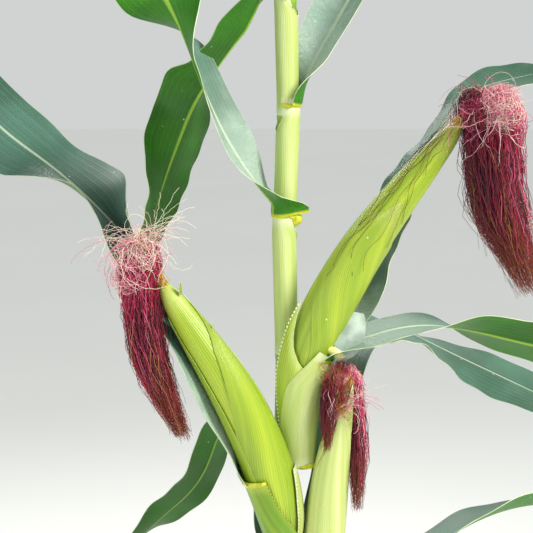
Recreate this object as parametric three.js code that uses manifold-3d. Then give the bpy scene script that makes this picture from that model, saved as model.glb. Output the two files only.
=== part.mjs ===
import * as THREE from "three";
import { mergeVertices } from "three/addons/utils/BufferGeometryUtils.js";
import Module from "manifold-3d";

// A maize plant in millimetres. Z is up, the cut foot of the stalk is at the origin,
// the two ranks of leaves spread along X, and the ears stand on the -Y side.

// Touching pieces stand this far apart
const SEAT_GAP = 0.3;
const STALK_CLEAR_REACH = 300;

// Stalk
const STALK_TOP = 1985;
const STALK_TAPER = [[0, 17], [700, 14.2], [1000, 12.9], [1450, 11.8], [1985, 4.4]];
const STALK_SIDES = 12;
const STALK_BOW = 5;
const STALK_BOW_HEIGHT = 1080;
const STALK_LEAN = 8;
const STALK_ZIGZAG = 1.6;
const NODE_SWELL = 1.8;
const NODE_REACH = 9;
const SHEATH_SKIN = 1.2;
const COLLAR_STEP = 3;

// Brace roots above the ground
const ROOT_WHORLS = [
  { count: 9, height: 34, reach: 46, radius: 4.2, turn: 10 },
  { count: 7, height: 66, reach: 68, radius: 4.6, turn: 30 },
];
const ROOT_SIDES = 6;
const ROOT_STEPS = 4;
const ROOT_KNEE = 0.72;
const ROOT_KNEE_LIFT = 0.86;
const ROOT_TAPER = 0.25;
const GROUND_DEPTH = 60;
const GROUND_SIZE = 400;

// Leaves: collar and sheath heights and lengths in mm, angles in degrees. Slopes, bearings,
// rolls and folds are tables of a share of the blade's length and the angle there. A blade is
// cut back where it meets the foot of a blade that it clears.
const LEAF_THICKNESS = 4.8;
const LEAF_SPLIT = 0.46;
const LEAF_STATIONS = 8;
const LEAF_GRAIN = 100;
const COMMON_FOLDS = [[0, 48], [0.35, 12]];
const FOOT_WIDTH = 0.62;
const FOOT_RUN = 0.3;
const TIP_POINT = 2.6;
const RUFFLE_HEIGHT = 5;
const RUFFLE_WAVES = 2.6;
const TIP_HALF_WIDTH = 2.4;

const LEAVES = [
  { name: "leaf_01", collar: 178, sheath: 84, length: 430, width: 52,
    slopes: [[0, 52], [0.95, -68]], bearings: [[0, 8], [1, 22]], rolls: [[0, 0], [0.5, 18], [1, 30]] },
  { name: "leaf_02", collar: 278, sheath: 96, length: 560, width: 64,
    slopes: [[0, 58], [0.95, -72]], bearings: [[0, 172], [1, 188]],
    rolls: [[0, 0], [0.5, -16], [1, -30]] },
  { name: "leaf_03", collar: 384, sheath: 106, length: 680, width: 74,
    slopes: [[0, 62], [1, -74]], bearings: [[0, -9], [1, -23]], rolls: [[0, 0], [0.5, 20], [1, 36]] },
  { name: "leaf_04", collar: 494, sheath: 114, length: 760, width: 82,
    slopes: [[0.05, 64], [1, -70]], bearings: [[0, 188], [1, 206]], rolls: [[0, 0], [0.5, 16], [1, 30]] },
  { name: "leaf_05", collar: 608, sheath: 118, length: 800, width: 88,
    slopes: [[0.1, 64], [1, -72]], bearings: [[0, 7], [1, 29]], rolls: [[0, 0], [0.5, -20], [1, -30]] },
  { name: "leaf_06", collar: 726, sheath: 122, length: 566, width: 64,
    slopes: [[0, 74], [0.4, 72], [0.58, -67], [0.75, -42], [1, -53]],
    bearings: [[0, 110], [0.5, 136], [1, 171]], rolls: [[0, 16], [0.5, 10], [0.75, 33], [1, -23]],
    folds: [[0, 48], [0.4, 20], [0.7, 5]] },
  { name: "leaf_07", collar: 842, sheath: 127, length: 720, width: 92,
    slopes: [[0, 79], [0.2, 86], [0.42, 2], [0.6, -26], [1, -27]],
    bearings: [[0, 84], [0.3, 68], [0.6, 38], [1, 1]],
    rolls: [[0, -50], [0.25, -3], [0.5, 20], [1, 65]], folds: [[0, 48], [0.3, 22], [0.6, -10]] },
  { name: "leaf_08", collar: 956, sheath: 124, length: 820, width: 106,
    slopes: [[0, 78.2], [0.27, 44.3], [0.42, 35.8], [0.58, 29.1], [0.74, 48.7], [1, -10]],
    bearings: [[0, 157.8], [0.32, 136.8], [0.58, 151.2], [1, 167.9]],
    rolls: [[0, -30.4], [0.11, -61], [0.33, -61.4], [0.5, -6.1], [0.69, -62.9], [1, -88.8]],
    folds: [[0, 46.9], [0.21, 75.8], [0.37, 72.5], [0.58, -3]] },
  { name: "leaf_09", collar: 1087, sheath: 136, length: 690, width: 82,
    slopes: [[0, 26.9], [0.25, -13.9], [0.5, -8], [0.75, -40], [1, -74]],
    bearings: [[0, 4.2], [0.5, -4.3], [1, 12]],
    rolls: [[0, 21], [0.12, 13], [0.28, -36], [0.45, -87], [1, -60]],
    folds: [[0, 0], [0.3, 11], [0.6, 12]] },
  { name: "leaf_10", collar: 1223, sheath: 147, length: 850, width: 88,
    slopes: [[0, 47.2], [0.22, 69.6], [0.5, 16.8], [1, -24]],
    bearings: [[0, 206], [0.3, 185.4], [1, 174]],
    rolls: [[0, 1], [0.1, -44], [0.22, -17], [0.36, 105], [0.5, 100], [1, 30]],
    folds: [[0, 20], [0.2, 18], [0.35, 10]] },
  { name: "leaf_11", collar: 1337, sheath: 134, length: 820, width: 84,
    slopes: [[0.15, 60], [1, -42]], bearings: [[0, 8], [1, 10]], rolls: [[0, 58], [0.5, 6], [1, 0]] },
  { name: "leaf_12", collar: 1453, sheath: 126, length: 370, width: 84, clears: ["leaf_08", "leaf_10"],
    slopes: [[0, -38], [0.28, -53], [0.5, -67.5], [1, -81]], bearings: [[0, 166], [0.4, 166], [1, 180]],
    rolls: [[0, 20], [0.28, -8], [0.46, 58], [0.78, 13], [1, 6]], folds: [[0, 44], [0.39, 42], [0.72, -11]] },
  { name: "leaf_13", collar: 1566, sheath: 118, length: 680, width: 84,
    slopes: [[0.15, 66], [1, -50]], bearings: [[0, -8], [1, -24]],
    rolls: [[0, 0], [0.5, -16], [1, -24]] },
  { name: "leaf_14", collar: 1672, sheath: 110, length: 600, width: 78,
    slopes: [[0.15, 68], [1, -46]], bearings: [[0, 190], [1, 204]], rolls: [[0, 0], [0.5, 14], [1, 26]] },
  { name: "leaf_15", collar: 1776, sheath: 106, length: 500, width: 70,
    slopes: [[0.2, 70], [1, -38]], bearings: [[0, 12], [1, 26]], rolls: [[0, 0], [0.5, -10], [1, -20]] },
  { name: "leaf_16", collar: 1872, sheath: 100, length: 400, width: 58,
    slopes: [[0.2, 72], [1, -26]], bearings: [[0, 172], [1, 160]], rolls: [[0, 0], [0.5, 10], [1, 20]] },
];

// Ears: centre line points in mm from the node to the tip, and the girth at the swell
const EAR_RISE = 1.6;
const EAR_NOSE = 1.25;
const EAR_SIDES = 16;
const EAR_STATIONS = 12;
const EARS = [
  { name: "ear_upper", leaf: "leaf_09", neck: 9, radius: 25, swell: 0.52, tip: 9,
    spine: [[20, -17, 958], [22, -26, 1070], [70, -30, 1176], [181, -30, 1326]] },
  { name: "ear_left", leaf: "leaf_08", neck: 9, radius: 26, swell: 0.55, tip: 9,
    spine: [[-2, -24, 838], [-3, -31, 908], [-40, -38, 1019], [-127, -42, 1161]] },
  { name: "ear_lower", leaf: "leaf_07", neck: 9, radius: 21, swell: 0.36, tip: 5,
    spine: [[21, -15, 722], [38, -20, 830], [50, -32, 960], [67, -44, 1056]] },
];

// Open leaf sheaths around the foot of each ear
const SHEATH_WALL = 2.4;
const SHEATH_CLEAR = 1.3;
const SHEATH_ARC_STEPS = 8;
const SHEATH_STATIONS = 7;
const SHEATH_RUFFLE = 1.8;
const SHEATH_RUFFLE_WAVES = 4;
const SHEATH_EDGE_POWER = 4;
const EAR_SHEATHS = [
  { name: "sheath_upper", ear: "ear_upper", from: 0.012, to: 0.37, arc: [200, 428] },
  { name: "sheath_left", ear: "ear_left", from: 0.012, to: 0.44, arc: [110, 345] },
  { name: "sheath_lower", ear: "ear_lower", from: 0.012, to: 0.36, arc: [212, 420] },
];

// Silk tufts: lobes that hang from the ear tips
const SILK_SIDES = 12;
const SILK_STATIONS = 10;
const SILK_LOCKS = 5;
const SILK_LOCK_DEPTH = 0.12;
const SILK_LOCK_TWIST = 2;
const SILK_END = 0.2;
const SILK_HEAD = 0.28;
const SILK_CROWN = 0.03;
const SILKS = [
  { name: "silk_upper", ear: "ear_upper", lobes: [
    { radius: 34, spine: [[206, -30, 1366], [213, -32, 1322], [221, -32, 1232], [254, -34, 1156]] },
  ] },
  { name: "silk_left", ear: "ear_left", lobes: [
    { radius: 28, spine: [[-154, -42, 1214], [-156, -44, 1164], [-143, -46, 1090], [-110, -50, 1004]] },
  ] },
  { name: "silk_lower", ear: "ear_lower", lobes: [
    { radius: 16, spine: [[63, -47, 1069], [67, -46, 1050], [73, -46, 990], [74, -44, 918]] },
    { radius: 9, spine: [[60, -48, 1067], [48, -50, 1056], [46, -50, 1028], [44, -48, 990]] },
  ] },
];

// Long blade that grows from the husk of the upper ear, beside the rim of its sheath
const HUSK_BLADE = { name: "husk_blade", ear: "ear_upper", clears: ["leaf_09"], at: 0.4, shift: 8,
  length: 430, width: 62,
  slopes: [[0, 48], [0.3, 63], [0.62, 52], [0.85, 12], [1, 11]], bearings: [[0, 44.6], [0.5, 31], [1, 4]],
  rolls: [[0, 50], [0.3, -5], [0.6, -3], [1, 64]], folds: [[0, 37], [0.35, 8]] };

// Tassel
const TASSEL_SEAT = STALK_TOP + SEAT_GAP;
const TASSEL_HEIGHT = 295;
const TASSEL_RADIUS = 4;
const TASSEL_END_RADIUS = 1.6;
const SPIKE_STEPS = 4;
const SPIKE_SIDES = 8;
const BRANCH_COUNT = 12;
const BRANCH_LENGTH = 205;
const BRANCH_RADIUS = 2.7;
const BRANCH_SPREAD = 110;
const BRANCH_FIRST = 26;
const BRANCH_PITCH = 9;
const BRANCH_TURN = 137.5;
const BRANCH_STEPS = 5;
const BRANCH_SIDES = 5;
const BRANCH_SHRINK = 0.45;
const BRANCH_TAPER = 0.5;
const BRANCH_KNEE = [0.35, 0.62];
const BRANCH_TIP = [1, 0.8];

const COLORS = {
  stalk: 0xb4c368,
  leaf: 0x3f6f3a,
  ear: 0xa6c22c,
  sheath: 0xa3bf4c,
  silk: 0xa02848,
  tassel: 0xc9b465,
};

const wasm = await Module();
wasm.setup();

const UP = new THREE.Vector3(0, 0, 1);

// Small helpers

function radians(degrees) {
  return THREE.MathUtils.degToRad(degrees);
}

function ease(value) {
  return THREE.MathUtils.smoothstep(value, 0, 1);
}

function fromTable(table, key) {
  const last = table.length - 1;
  const index = table.findIndex(([height], i) => i > 0 && (key <= height || i === last));
  const [low, lowValue] = table[index - 1];
  const [high, highValue] = table[index];
  return THREE.MathUtils.mapLinear(key, low, high, lowValue, highValue);
}

// As fromTable, but level at every key and beyond the ends
function easedTable(table, key) {
  const inside = table.findIndex(([share]) => key <= share);
  if (inside < 1) {
    return table[inside === 0 ? 0 : table.length - 1][1];
  }
  const [[low, lowValue], [high, highValue]] = table.slice(inside - 1, inside + 1);
  return THREE.MathUtils.lerp(lowValue, highValue, ease((key - low) / (high - low)));
}

function steps(count) {
  return Array.from({ length: count + 1 }, (_, i) => i / count);
}

// Solids from rows of points

function faceted(points, triangles) {
  const geometry = new THREE.BufferGeometry();
  geometry.setAttribute("position", new THREE.Float32BufferAttribute(points.flatMap((p) => p.toArray()), 3));
  geometry.setIndex(triangles);
  return geometry;
}

function volumeOf(points, triangles) {
  let sum = 0;
  for (let i = 0; i < triangles.length; i += 3) {
    const [a, b, c] = [points[triangles[i]], points[triangles[i + 1]], points[triangles[i + 2]]];
    sum += a.dot(b.clone().cross(c)) / 6;
  }
  return sum;
}

function outward(points, triangles) {
  const turned = volumeOf(points, triangles) < 0 ? [...triangles].reverse() : triangles;
  return faceted(points, turned);
}

function quad(a, b, c, d) {
  return [a, b, c, a, c, d];
}

// A closed tube through rings of points, with a fan of triangles at each end
function tube(rings) {
  const sides = rings[0].length;
  const points = rings.flat();
  const triangles = [];
  for (let r = 0; r + 1 < rings.length; r += 1) {
    for (let i = 0; i < sides; i += 1) {
      const next = (i + 1) % sides;
      triangles.push(...quad(r * sides + i, r * sides + next, (r + 1) * sides + next, (r + 1) * sides + i));
    }
  }
  [0, rings.length - 1].forEach((r) => {
    const centre = new THREE.Vector3();
    rings[r].forEach((p) => centre.addScaledVector(p, 1 / sides));
    const hub = points.push(centre) - 1;
    for (let i = 0; i < sides; i += 1) {
      const pair = [r * sides + i, r * sides + ((i + 1) % sides)];
      triangles.push(hub, ...(r === 0 ? pair.reverse() : pair));
    }
  });
  return outward(points, triangles);
}

// A closed ribbon: each row holds an upper and a lower line of points
function ribbon(rows) {
  const across = rows[0].upper.length;
  const width = 2 * across;
  const points = rows.flatMap((row) => [...row.upper, ...[...row.lower].reverse()]);
  const triangles = [];
  for (let r = 0; r + 1 < rows.length; r += 1) {
    for (let i = 0; i < width; i += 1) {
      const next = (i + 1) % width;
      triangles.push(...quad(r * width + i, r * width + next, (r + 1) * width + next, (r + 1) * width + i));
    }
  }
  const end = (rows.length - 1) * width;
  for (let i = 0; i + 1 < across; i += 1) {
    const far = width - 1 - i;
    triangles.push(...quad(i, far, far - 1, i + 1));
    triangles.push(...quad(end + i, end + i + 1, end + far - 1, end + far));
  }
  return outward(points, triangles);
}

// Joining and cutting

function toSolid(geometry) {
  const merged = mergeVertices(geometry, 1e-4);
  const vertProperties = new Float32Array(merged.attributes.position.array);
  const triVerts = new Uint32Array(merged.index.array);
  return new wasm.Manifold(new wasm.Mesh({ numProp: 3, vertProperties, triVerts }));
}

function largestBody(solid) {
  return solid.decompose().reduce((best, body) => (body.volume() > best.volume() ? body : best));
}

function toGeometry(solid) {
  const { vertProperties, triVerts } = largestBody(solid).getMesh();
  const geometry = new THREE.BufferGeometry();
  geometry.setAttribute("position", new THREE.Float32BufferAttribute(vertProperties, 3));
  geometry.setIndex(Array.from(triVerts));
  return geometry;
}

function cutBy(geometry, neighbours) {
  const rest = neighbours.reduce((solid, other) => solid.subtract(toSolid(other)), toSolid(geometry));
  return toGeometry(rest);
}

// Stalk

function nodeHeights() {
  return LEAVES.map((leaf) => leaf.collar - leaf.sheath);
}

function stalkCentre(height) {
  const bow = STALK_BOW * Math.sin((Math.PI * Math.min(height, STALK_BOW_HEIGHT)) / STALK_BOW_HEIGHT);
  const lean = STALK_LEAN * (height / STALK_TOP) ** 3;
  const nodes = [0, ...nodeHeights(), STALK_TOP];
  const above = Math.max(1, nodes.findIndex((node) => node >= height));
  const share = (height - nodes[above - 1]) / (nodes[above] - nodes[above - 1]);
  const side = above % 2 === 0 ? 1 : -1;
  const ends = [above === 1 ? 0 : -side, above === nodes.length - 1 ? 0 : side];
  const zigzag = STALK_ZIGZAG * THREE.MathUtils.lerp(ends[0], ends[1], share);
  return new THREE.Vector3(bow + lean + zigzag, 0, height);
}

function stalkRings() {
  const rings = [{ height: 0, extra: 0 }];
  LEAVES.forEach((leaf) => {
    const node = leaf.collar - leaf.sheath;
    rings.push({ height: node - NODE_REACH, extra: SHEATH_SKIN });
    rings.push({ height: node, extra: NODE_SWELL });
    rings.push({ height: node + NODE_REACH, extra: SHEATH_SKIN / 2 });
    rings.push({ height: leaf.collar - COLLAR_STEP, extra: SHEATH_SKIN });
    rings.push({ height: leaf.collar + COLLAR_STEP, extra: 0 });
  });
  rings.push({ height: STALK_TOP, extra: 0 });
  const sorted = rings.sort((a, b) => a.height - b.height);
  return sorted.filter((ring, i) => i === 0 || ring.height - sorted[i - 1].height > 1);
}

function stalkBody(swell, from, to) {
  const sections = stalkRings().filter(({ height }) => height >= from && height <= to);
  return tube(sections.map(({ height, extra }) => {
    const radius = fromTable(STALK_TAPER, height) + extra + swell;
    const centre = stalkCentre(height);
    return Array.from({ length: STALK_SIDES }, (_, i) => {
      const angle = (2 * Math.PI * i) / STALK_SIDES;
      const out = new THREE.Vector3(Math.cos(angle), Math.sin(angle), 0);
      return out.multiplyScalar(radius).add(centre);
    });
  }));
}

// The stretch of stalk around one height, swollen by the seat gap
function stalkClearance(height) {
  return stalkBody(SEAT_GAP, Math.max(0, height - STALK_CLEAR_REACH), height + STALK_CLEAR_REACH);
}

function braceRoot(whorl, index) {
  const angle = radians(whorl.turn + (360 * index) / whorl.count);
  const out = new THREE.Vector3(Math.cos(angle), Math.sin(angle), 0);
  const curve = new THREE.QuadraticBezierCurve3(
    new THREE.Vector3(0, 0, whorl.height),
    out.clone().multiplyScalar(whorl.reach * ROOT_KNEE).setZ(whorl.height * ROOT_KNEE_LIFT),
    out.clone().multiplyScalar(whorl.reach).setZ(-GROUND_DEPTH / 3),
  );
  return sweptTube(curve, ROOT_STEPS, ROOT_SIDES, (s) => whorl.radius * (1 - ROOT_TAPER * s));
}

function groundBlock() {
  const block = new THREE.BoxGeometry(GROUND_SIZE, GROUND_SIZE, GROUND_DEPTH);
  block.translate(0, 0, -GROUND_DEPTH / 2);
  block.deleteAttribute("normal");
  block.deleteAttribute("uv");
  return block;
}

function stalk() {
  let solid = toSolid(stalkBody(0, 0, STALK_TOP));
  ROOT_WHORLS.forEach((whorl) => {
    for (let i = 0; i < whorl.count; i += 1) {
      solid = solid.add(toSolid(braceRoot(whorl, i)));
    }
  });
  return toGeometry(solid.subtract(toSolid(groundBlock())));
}

// A round sweep: radius and side lobes are functions of the way along and around
function sweptTube(curve, stationCount, sides, radiusAt, lobesAt = () => 1) {
  const start = curve.getTangent(0);
  const hint = Math.abs(start.z) > 0.9 ? new THREE.Vector3(1, 0, 0) : UP;
  let across = hint.clone().cross(start).normalize();
  return tube(steps(stationCount).map((s) => {
    const tangent = curve.getTangent(s);
    across = across.clone().addScaledVector(tangent, -across.dot(tangent)).normalize();
    const lift = tangent.clone().cross(across);
    const centre = curve.getPoint(s);
    return Array.from({ length: sides }, (_, i) => {
      const angle = (2 * Math.PI * i) / sides;
      const radius = radiusAt(s) * lobesAt(angle, s);
      return centre.clone()
        .addScaledVector(across, radius * Math.cos(angle))
        .addScaledVector(lift, radius * Math.sin(angle));
    });
  }));
}

// Leaves

function bladeFrames(leaf, start) {
  const slopeAt = (s) => radians(easedTable(leaf.slopes, s));
  const bearingAt = (s) => radians(fromTable(leaf.bearings, s));
  const rollAt = (s) => radians(easedTable(leaf.rolls, s));
  const headingAt = (s) => new THREE.Vector3(
    Math.cos(slopeAt(s)) * Math.cos(bearingAt(s)),
    Math.cos(slopeAt(s)) * Math.sin(bearingAt(s)),
    Math.sin(slopeAt(s)),
  );
  const place = start.clone();
  return steps(LEAF_GRAIN).map((s, i) => {
    if (i > 0) {
      place.addScaledVector(headingAt(s - 0.5 / LEAF_GRAIN), leaf.length / LEAF_GRAIN);
    }
    const heading = headingAt(s);
    const across = new THREE.Vector3(-Math.sin(bearingAt(s)), Math.cos(bearingAt(s)), 0);
    across.applyAxisAngle(heading, rollAt(s));
    return { s, place: place.clone(), heading, across, normal: heading.clone().cross(across) };
  });
}

function halfWidth(leaf, s) {
  const spread = FOOT_WIDTH + (1 - FOOT_WIDTH) * ease(s / FOOT_RUN);
  return Math.max(TIP_HALF_WIDTH, (leaf.width / 2) * spread * Math.sqrt(Math.max(0, 1 - s ** TIP_POINT)));
}

// One cross-section: a folded upper line and the lower line a leaf thickness below it
function bladeRow(leaf, frame, swell) {
  const { s, place, across, normal } = frame;
  const half = halfWidth(leaf, s) + swell;
  const fold = radians(easedTable(leaf.folds ?? COMMON_FOLDS, s));
  const row = { upper: [], lower: [] };
  const ruffle = RUFFLE_HEIGHT * ease(s / FOOT_RUN);
  [-1, -0.5, 0, 0.5, 1].forEach((u) => {
    const side = Math.sign(u);
    const wave = ruffle * u * u * Math.sin(2 * Math.PI * RUFFLE_WAVES * s + side);
    const top = place.clone()
      .addScaledVector(across, u * half * Math.cos(fold))
      .addScaledVector(normal, Math.abs(u) * half * Math.sin(fold) + wave);
    const under = normal.clone().multiplyScalar(u === 0 ? 1 / Math.cos(fold) : Math.cos(fold));
    under.addScaledVector(across, -side * Math.sin(fold));
    row.upper.push(top.clone().addScaledVector(under, swell));
    row.lower.push(top.clone().addScaledVector(under, -LEAF_THICKNESS - swell));
  });
  return row;
}

// The stretch of blade between two shares of its length, drawn back from a cut end
function bladePart(leaf, start, from, to, swell = 0) {
  const frames = bladeFrames(leaf, start);
  return ribbon(steps(LEAF_STATIONS).map((t) => {
    const share = THREE.MathUtils.lerp(from, to, t);
    const frame = { ...frames[Math.round(share * LEAF_GRAIN)] };
    const back = { 0: from > 0 ? SEAT_GAP / 2 : 0, 1: to < 1 ? -SEAT_GAP / 2 : 0 }[t] ?? 0;
    frame.place = frame.place.clone().addScaledVector(frame.heading, back);
    return bladeRow(leaf, frame, swell);
  }));
}

// Ears

function spineCurve(points) {
  return new THREE.CatmullRomCurve3(points.map((p) => new THREE.Vector3(...p)), false, "centripetal");
}

function earRadius(ear, s) {
  if (s < ear.swell) {
    return THREE.MathUtils.lerp(ear.neck, ear.radius, Math.sin((Math.PI / 2) * (s / ear.swell)) ** EAR_RISE);
  }
  const t = (s - ear.swell) / (1 - ear.swell);
  return THREE.MathUtils.lerp(ear.radius, ear.tip, 1 - Math.cos((Math.PI / 2) * t ** EAR_NOSE));
}

function earBody(ear, swell) {
  return sweptTube(spineCurve(ear.spine), EAR_STATIONS, EAR_SIDES, (s) => earRadius(ear, s) + swell);
}

function earNamed(name) {
  return EARS.find((ear) => ear.name === name);
}

// The sheath is an arc around the ear's foot, open towards the stalk
function sheathBody(sheath, swell) {
  const ear = earNamed(sheath.ear);
  const curve = spineCurve(ear.spine);
  const [first, last] = sheath.arc.map(radians);
  return ribbon(steps(SHEATH_STATIONS).map((t) => {
    const s = THREE.MathUtils.lerp(sheath.from, sheath.to, t);
    const centre = curve.getPoint(s);
    const tangent = curve.getTangent(s);
    const across = new THREE.Vector3(1, 0, 0).addScaledVector(tangent, -tangent.x).normalize();
    const inner = earRadius(ear, s) + SHEATH_CLEAR;
    const row = { upper: [], lower: [] };
    steps(SHEATH_ARC_STEPS).forEach((share) => {
      const angle = THREE.MathUtils.lerp(first, last, share);
      const out = across.clone().applyAxisAngle(tangent, angle);
      const edge = Math.abs(2 * share - 1) ** SHEATH_EDGE_POWER;
      const ruffle = SHEATH_RUFFLE * edge * (1 + Math.sin(2 * Math.PI * SHEATH_RUFFLE_WAVES * t));
      row.lower.push(centre.clone().addScaledVector(out, inner + ruffle - swell));
      row.upper.push(centre.clone().addScaledVector(out, inner + ruffle + SHEATH_WALL + swell));
    });
    return row;
  }));
}

// Silk

function silkLobe(lobe) {
  const radiusAt = (s) => {
    const head = Math.sqrt(1 - (1 - Math.min(1, (s + SILK_CROWN) / SILK_HEAD)) ** 2);
    return lobe.radius * head * THREE.MathUtils.lerp(1, SILK_END, ease((s - SILK_HEAD) / (1 - SILK_HEAD)));
  };
  const locksAt = (angle, s) => 1 + SILK_LOCK_DEPTH * Math.sin(SILK_LOCKS * angle + SILK_LOCK_TWIST * s);
  return sweptTube(spineCurve(lobe.spine), SILK_STATIONS, SILK_SIDES, radiusAt, locksAt);
}

function silkTuft(silk) {
  const joined = silk.lobes.map(silkLobe).map(toSolid).reduce((all, lobe) => all.add(lobe));
  return toGeometry(joined.subtract(toSolid(earBody(earNamed(silk.ear), SEAT_GAP))));
}

// Tassel

function tasselBranch(index) {
  const angle = radians(BRANCH_TURN * index);
  const out = new THREE.Vector3(Math.cos(angle), Math.sin(angle), 0);
  const foot = stalkCentre(STALK_TOP).setZ(TASSEL_SEAT + BRANCH_FIRST + BRANCH_PITCH * index);
  const shrink = 1 - (BRANCH_SHRINK * index) / BRANCH_COUNT;
  const length = BRANCH_LENGTH * shrink;
  const spread = BRANCH_SPREAD * shrink;
  const [knee, tip] = [BRANCH_KNEE, BRANCH_TIP].map(([aside, above]) => (
    foot.clone().addScaledVector(out, spread * aside).addScaledVector(UP, length * above)
  ));
  const curve = new THREE.QuadraticBezierCurve3(foot, knee, tip);
  return sweptTube(curve, BRANCH_STEPS, BRANCH_SIDES, (s) => BRANCH_RADIUS * (1 - BRANCH_TAPER * s));
}

function tassel() {
  const foot = stalkCentre(STALK_TOP).setZ(TASSEL_SEAT);
  const spike = new THREE.LineCurve3(foot, foot.clone().addScaledVector(UP, TASSEL_HEIGHT));
  const radiusAt = (s) => THREE.MathUtils.lerp(TASSEL_RADIUS, TASSEL_END_RADIUS, s);
  let solid = toSolid(sweptTube(spike, SPIKE_STEPS, SPIKE_SIDES, radiusAt));
  for (let i = 0; i < BRANCH_COUNT; i += 1) {
    solid = solid.add(toSolid(tasselBranch(i)));
  }
  return toGeometry(solid);
}

// The whole plant

const plant = new THREE.Group();

function addPart(name, geometry, kind) {
  const material = new THREE.MeshStandardMaterial({ color: COLORS[kind], roughness: 0.55, metalness: 0 });
  const mesh = new THREE.Mesh(geometry, material);
  mesh.name = name;
  plant.add(mesh);
}

function earHolding(leaf) {
  return EARS.find((ear) => ear.leaf === leaf.name);
}

// A blade starts on the stalk, or on the rim of the sheath that holds an ear
function leafStart(leaf) {
  const ear = earHolding(leaf);
  const centre = stalkCentre(leaf.collar);
  if (!ear) {
    return centre;
  }
  const sheath = EAR_SHEATHS.find((item) => item.ear === ear.name);
  const rim = spineCurve(ear.spine).getPoint(sheath.to);
  const bearing = radians(fromTable(leaf.bearings, 0));
  const out = new THREE.Vector3(Math.cos(bearing), Math.sin(bearing), 0);
  return rim.addScaledVector(out, earRadius(ear, sheath.to) + SHEATH_WALL);
}

// What grows around the foot of a blade, swollen by the seat gap
function footNeighbours(height) {
  return [
    stalkClearance(height),
    ...EARS.map((ear) => earBody(ear, SEAT_GAP)),
    ...EAR_SHEATHS.map((sheath) => sheathBody(sheath, SEAT_GAP)),
  ];
}

// The feet of the blades that a blade clears, swollen by the seat gap
function clearedBlades(leaf) {
  const others = LEAVES.filter(({ name }) => leaf.clears?.includes(name));
  return others.map((other) => bladePart(other, leafStart(other), 0, LEAF_SPLIT, SEAT_GAP));
}

function addLeaf(leaf) {
  const start = leafStart(leaf);
  const others = clearedBlades(leaf);
  const base = bladePart(leaf, start, 0, LEAF_SPLIT);
  const tip = bladePart(leaf, start, LEAF_SPLIT, 1);
  addPart(`${leaf.name}_base`, cutBy(base, [...footNeighbours(leaf.collar), ...others]), "leaf");
  addPart(`${leaf.name}_tip`, others.length > 0 ? cutBy(tip, others) : tip, "leaf");
}

function addHuskBlade() {
  const ear = earNamed(HUSK_BLADE.ear);
  const foot = spineCurve(ear.spine).getPoint(HUSK_BLADE.at);
  const out = new THREE.Vector3(earRadius(ear, HUSK_BLADE.at), HUSK_BLADE.shift, 0);
  const blade = bladePart(HUSK_BLADE, foot.clone().add(out), 0, 1);
  addPart(HUSK_BLADE.name, cutBy(blade, [...footNeighbours(foot.z), ...clearedBlades(HUSK_BLADE)]), "leaf");
}

addPart("stalk", stalk(), "stalk");
LEAVES.forEach(addLeaf);
addHuskBlade();
EARS.forEach((ear) => addPart(ear.name, cutBy(earBody(ear, 0), [stalkClearance(ear.spine[0][2])]), "ear"));
EAR_SHEATHS.forEach((sheath) => {
  const ear = earNamed(sheath.ear);
  addPart(sheath.name, cutBy(sheathBody(sheath, 0), [stalkClearance(ear.spine[0][2])]), "sheath");
});
SILKS.forEach((silk) => addPart(silk.name, silkTuft(silk), "silk"));
addPart("tassel", tassel(), "tassel");

export default plant;
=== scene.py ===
# %% [markdown]
# # A maize plant
#
# A maize plant is a noded cane with two ranks of long arching blades, husked ears with hanging
# silk, and a tassel on top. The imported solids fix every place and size. Each step below dresses
# one kind of piece in the same frame: Z up, the cut foot of the cane at the origin.
# Lengths are written in millimetres, and turned into metres where a mesh is made.

# %% Load the solids
import math

import bpy
import numpy as np
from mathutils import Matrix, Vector


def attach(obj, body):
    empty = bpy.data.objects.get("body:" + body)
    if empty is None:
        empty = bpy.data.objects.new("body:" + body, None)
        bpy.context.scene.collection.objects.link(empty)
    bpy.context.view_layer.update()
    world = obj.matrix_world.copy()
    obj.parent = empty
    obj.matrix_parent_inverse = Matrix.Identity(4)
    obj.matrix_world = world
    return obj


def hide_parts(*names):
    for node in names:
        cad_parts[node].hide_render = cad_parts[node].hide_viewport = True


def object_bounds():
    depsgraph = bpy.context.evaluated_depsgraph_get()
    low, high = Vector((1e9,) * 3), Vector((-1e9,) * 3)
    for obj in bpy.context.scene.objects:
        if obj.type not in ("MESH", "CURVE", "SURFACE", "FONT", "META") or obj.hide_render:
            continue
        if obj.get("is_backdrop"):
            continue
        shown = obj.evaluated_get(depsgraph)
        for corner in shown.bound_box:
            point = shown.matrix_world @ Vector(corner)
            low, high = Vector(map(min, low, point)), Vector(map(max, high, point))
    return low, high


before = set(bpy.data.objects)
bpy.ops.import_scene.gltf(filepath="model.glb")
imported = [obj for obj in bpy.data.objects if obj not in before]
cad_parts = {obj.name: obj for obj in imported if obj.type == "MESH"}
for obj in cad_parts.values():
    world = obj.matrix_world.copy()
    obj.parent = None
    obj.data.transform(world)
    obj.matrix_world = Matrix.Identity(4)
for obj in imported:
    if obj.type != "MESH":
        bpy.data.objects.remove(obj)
cad_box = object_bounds()
print("the solids reach between", [[round(c, 3) for c in corner] for corner in cad_box])

# %% [markdown]
# ## Camera, light and floor
#
# The camera looks along +Y, eight degrees down, and its frame takes in the half metre of the
# plant around the ears. A soft lamp from the upper right is the sun behind thin cloud, a weaker
# one opens the shadows on the left, one more stands behind, and a pale sky fills in the rest.

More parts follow.
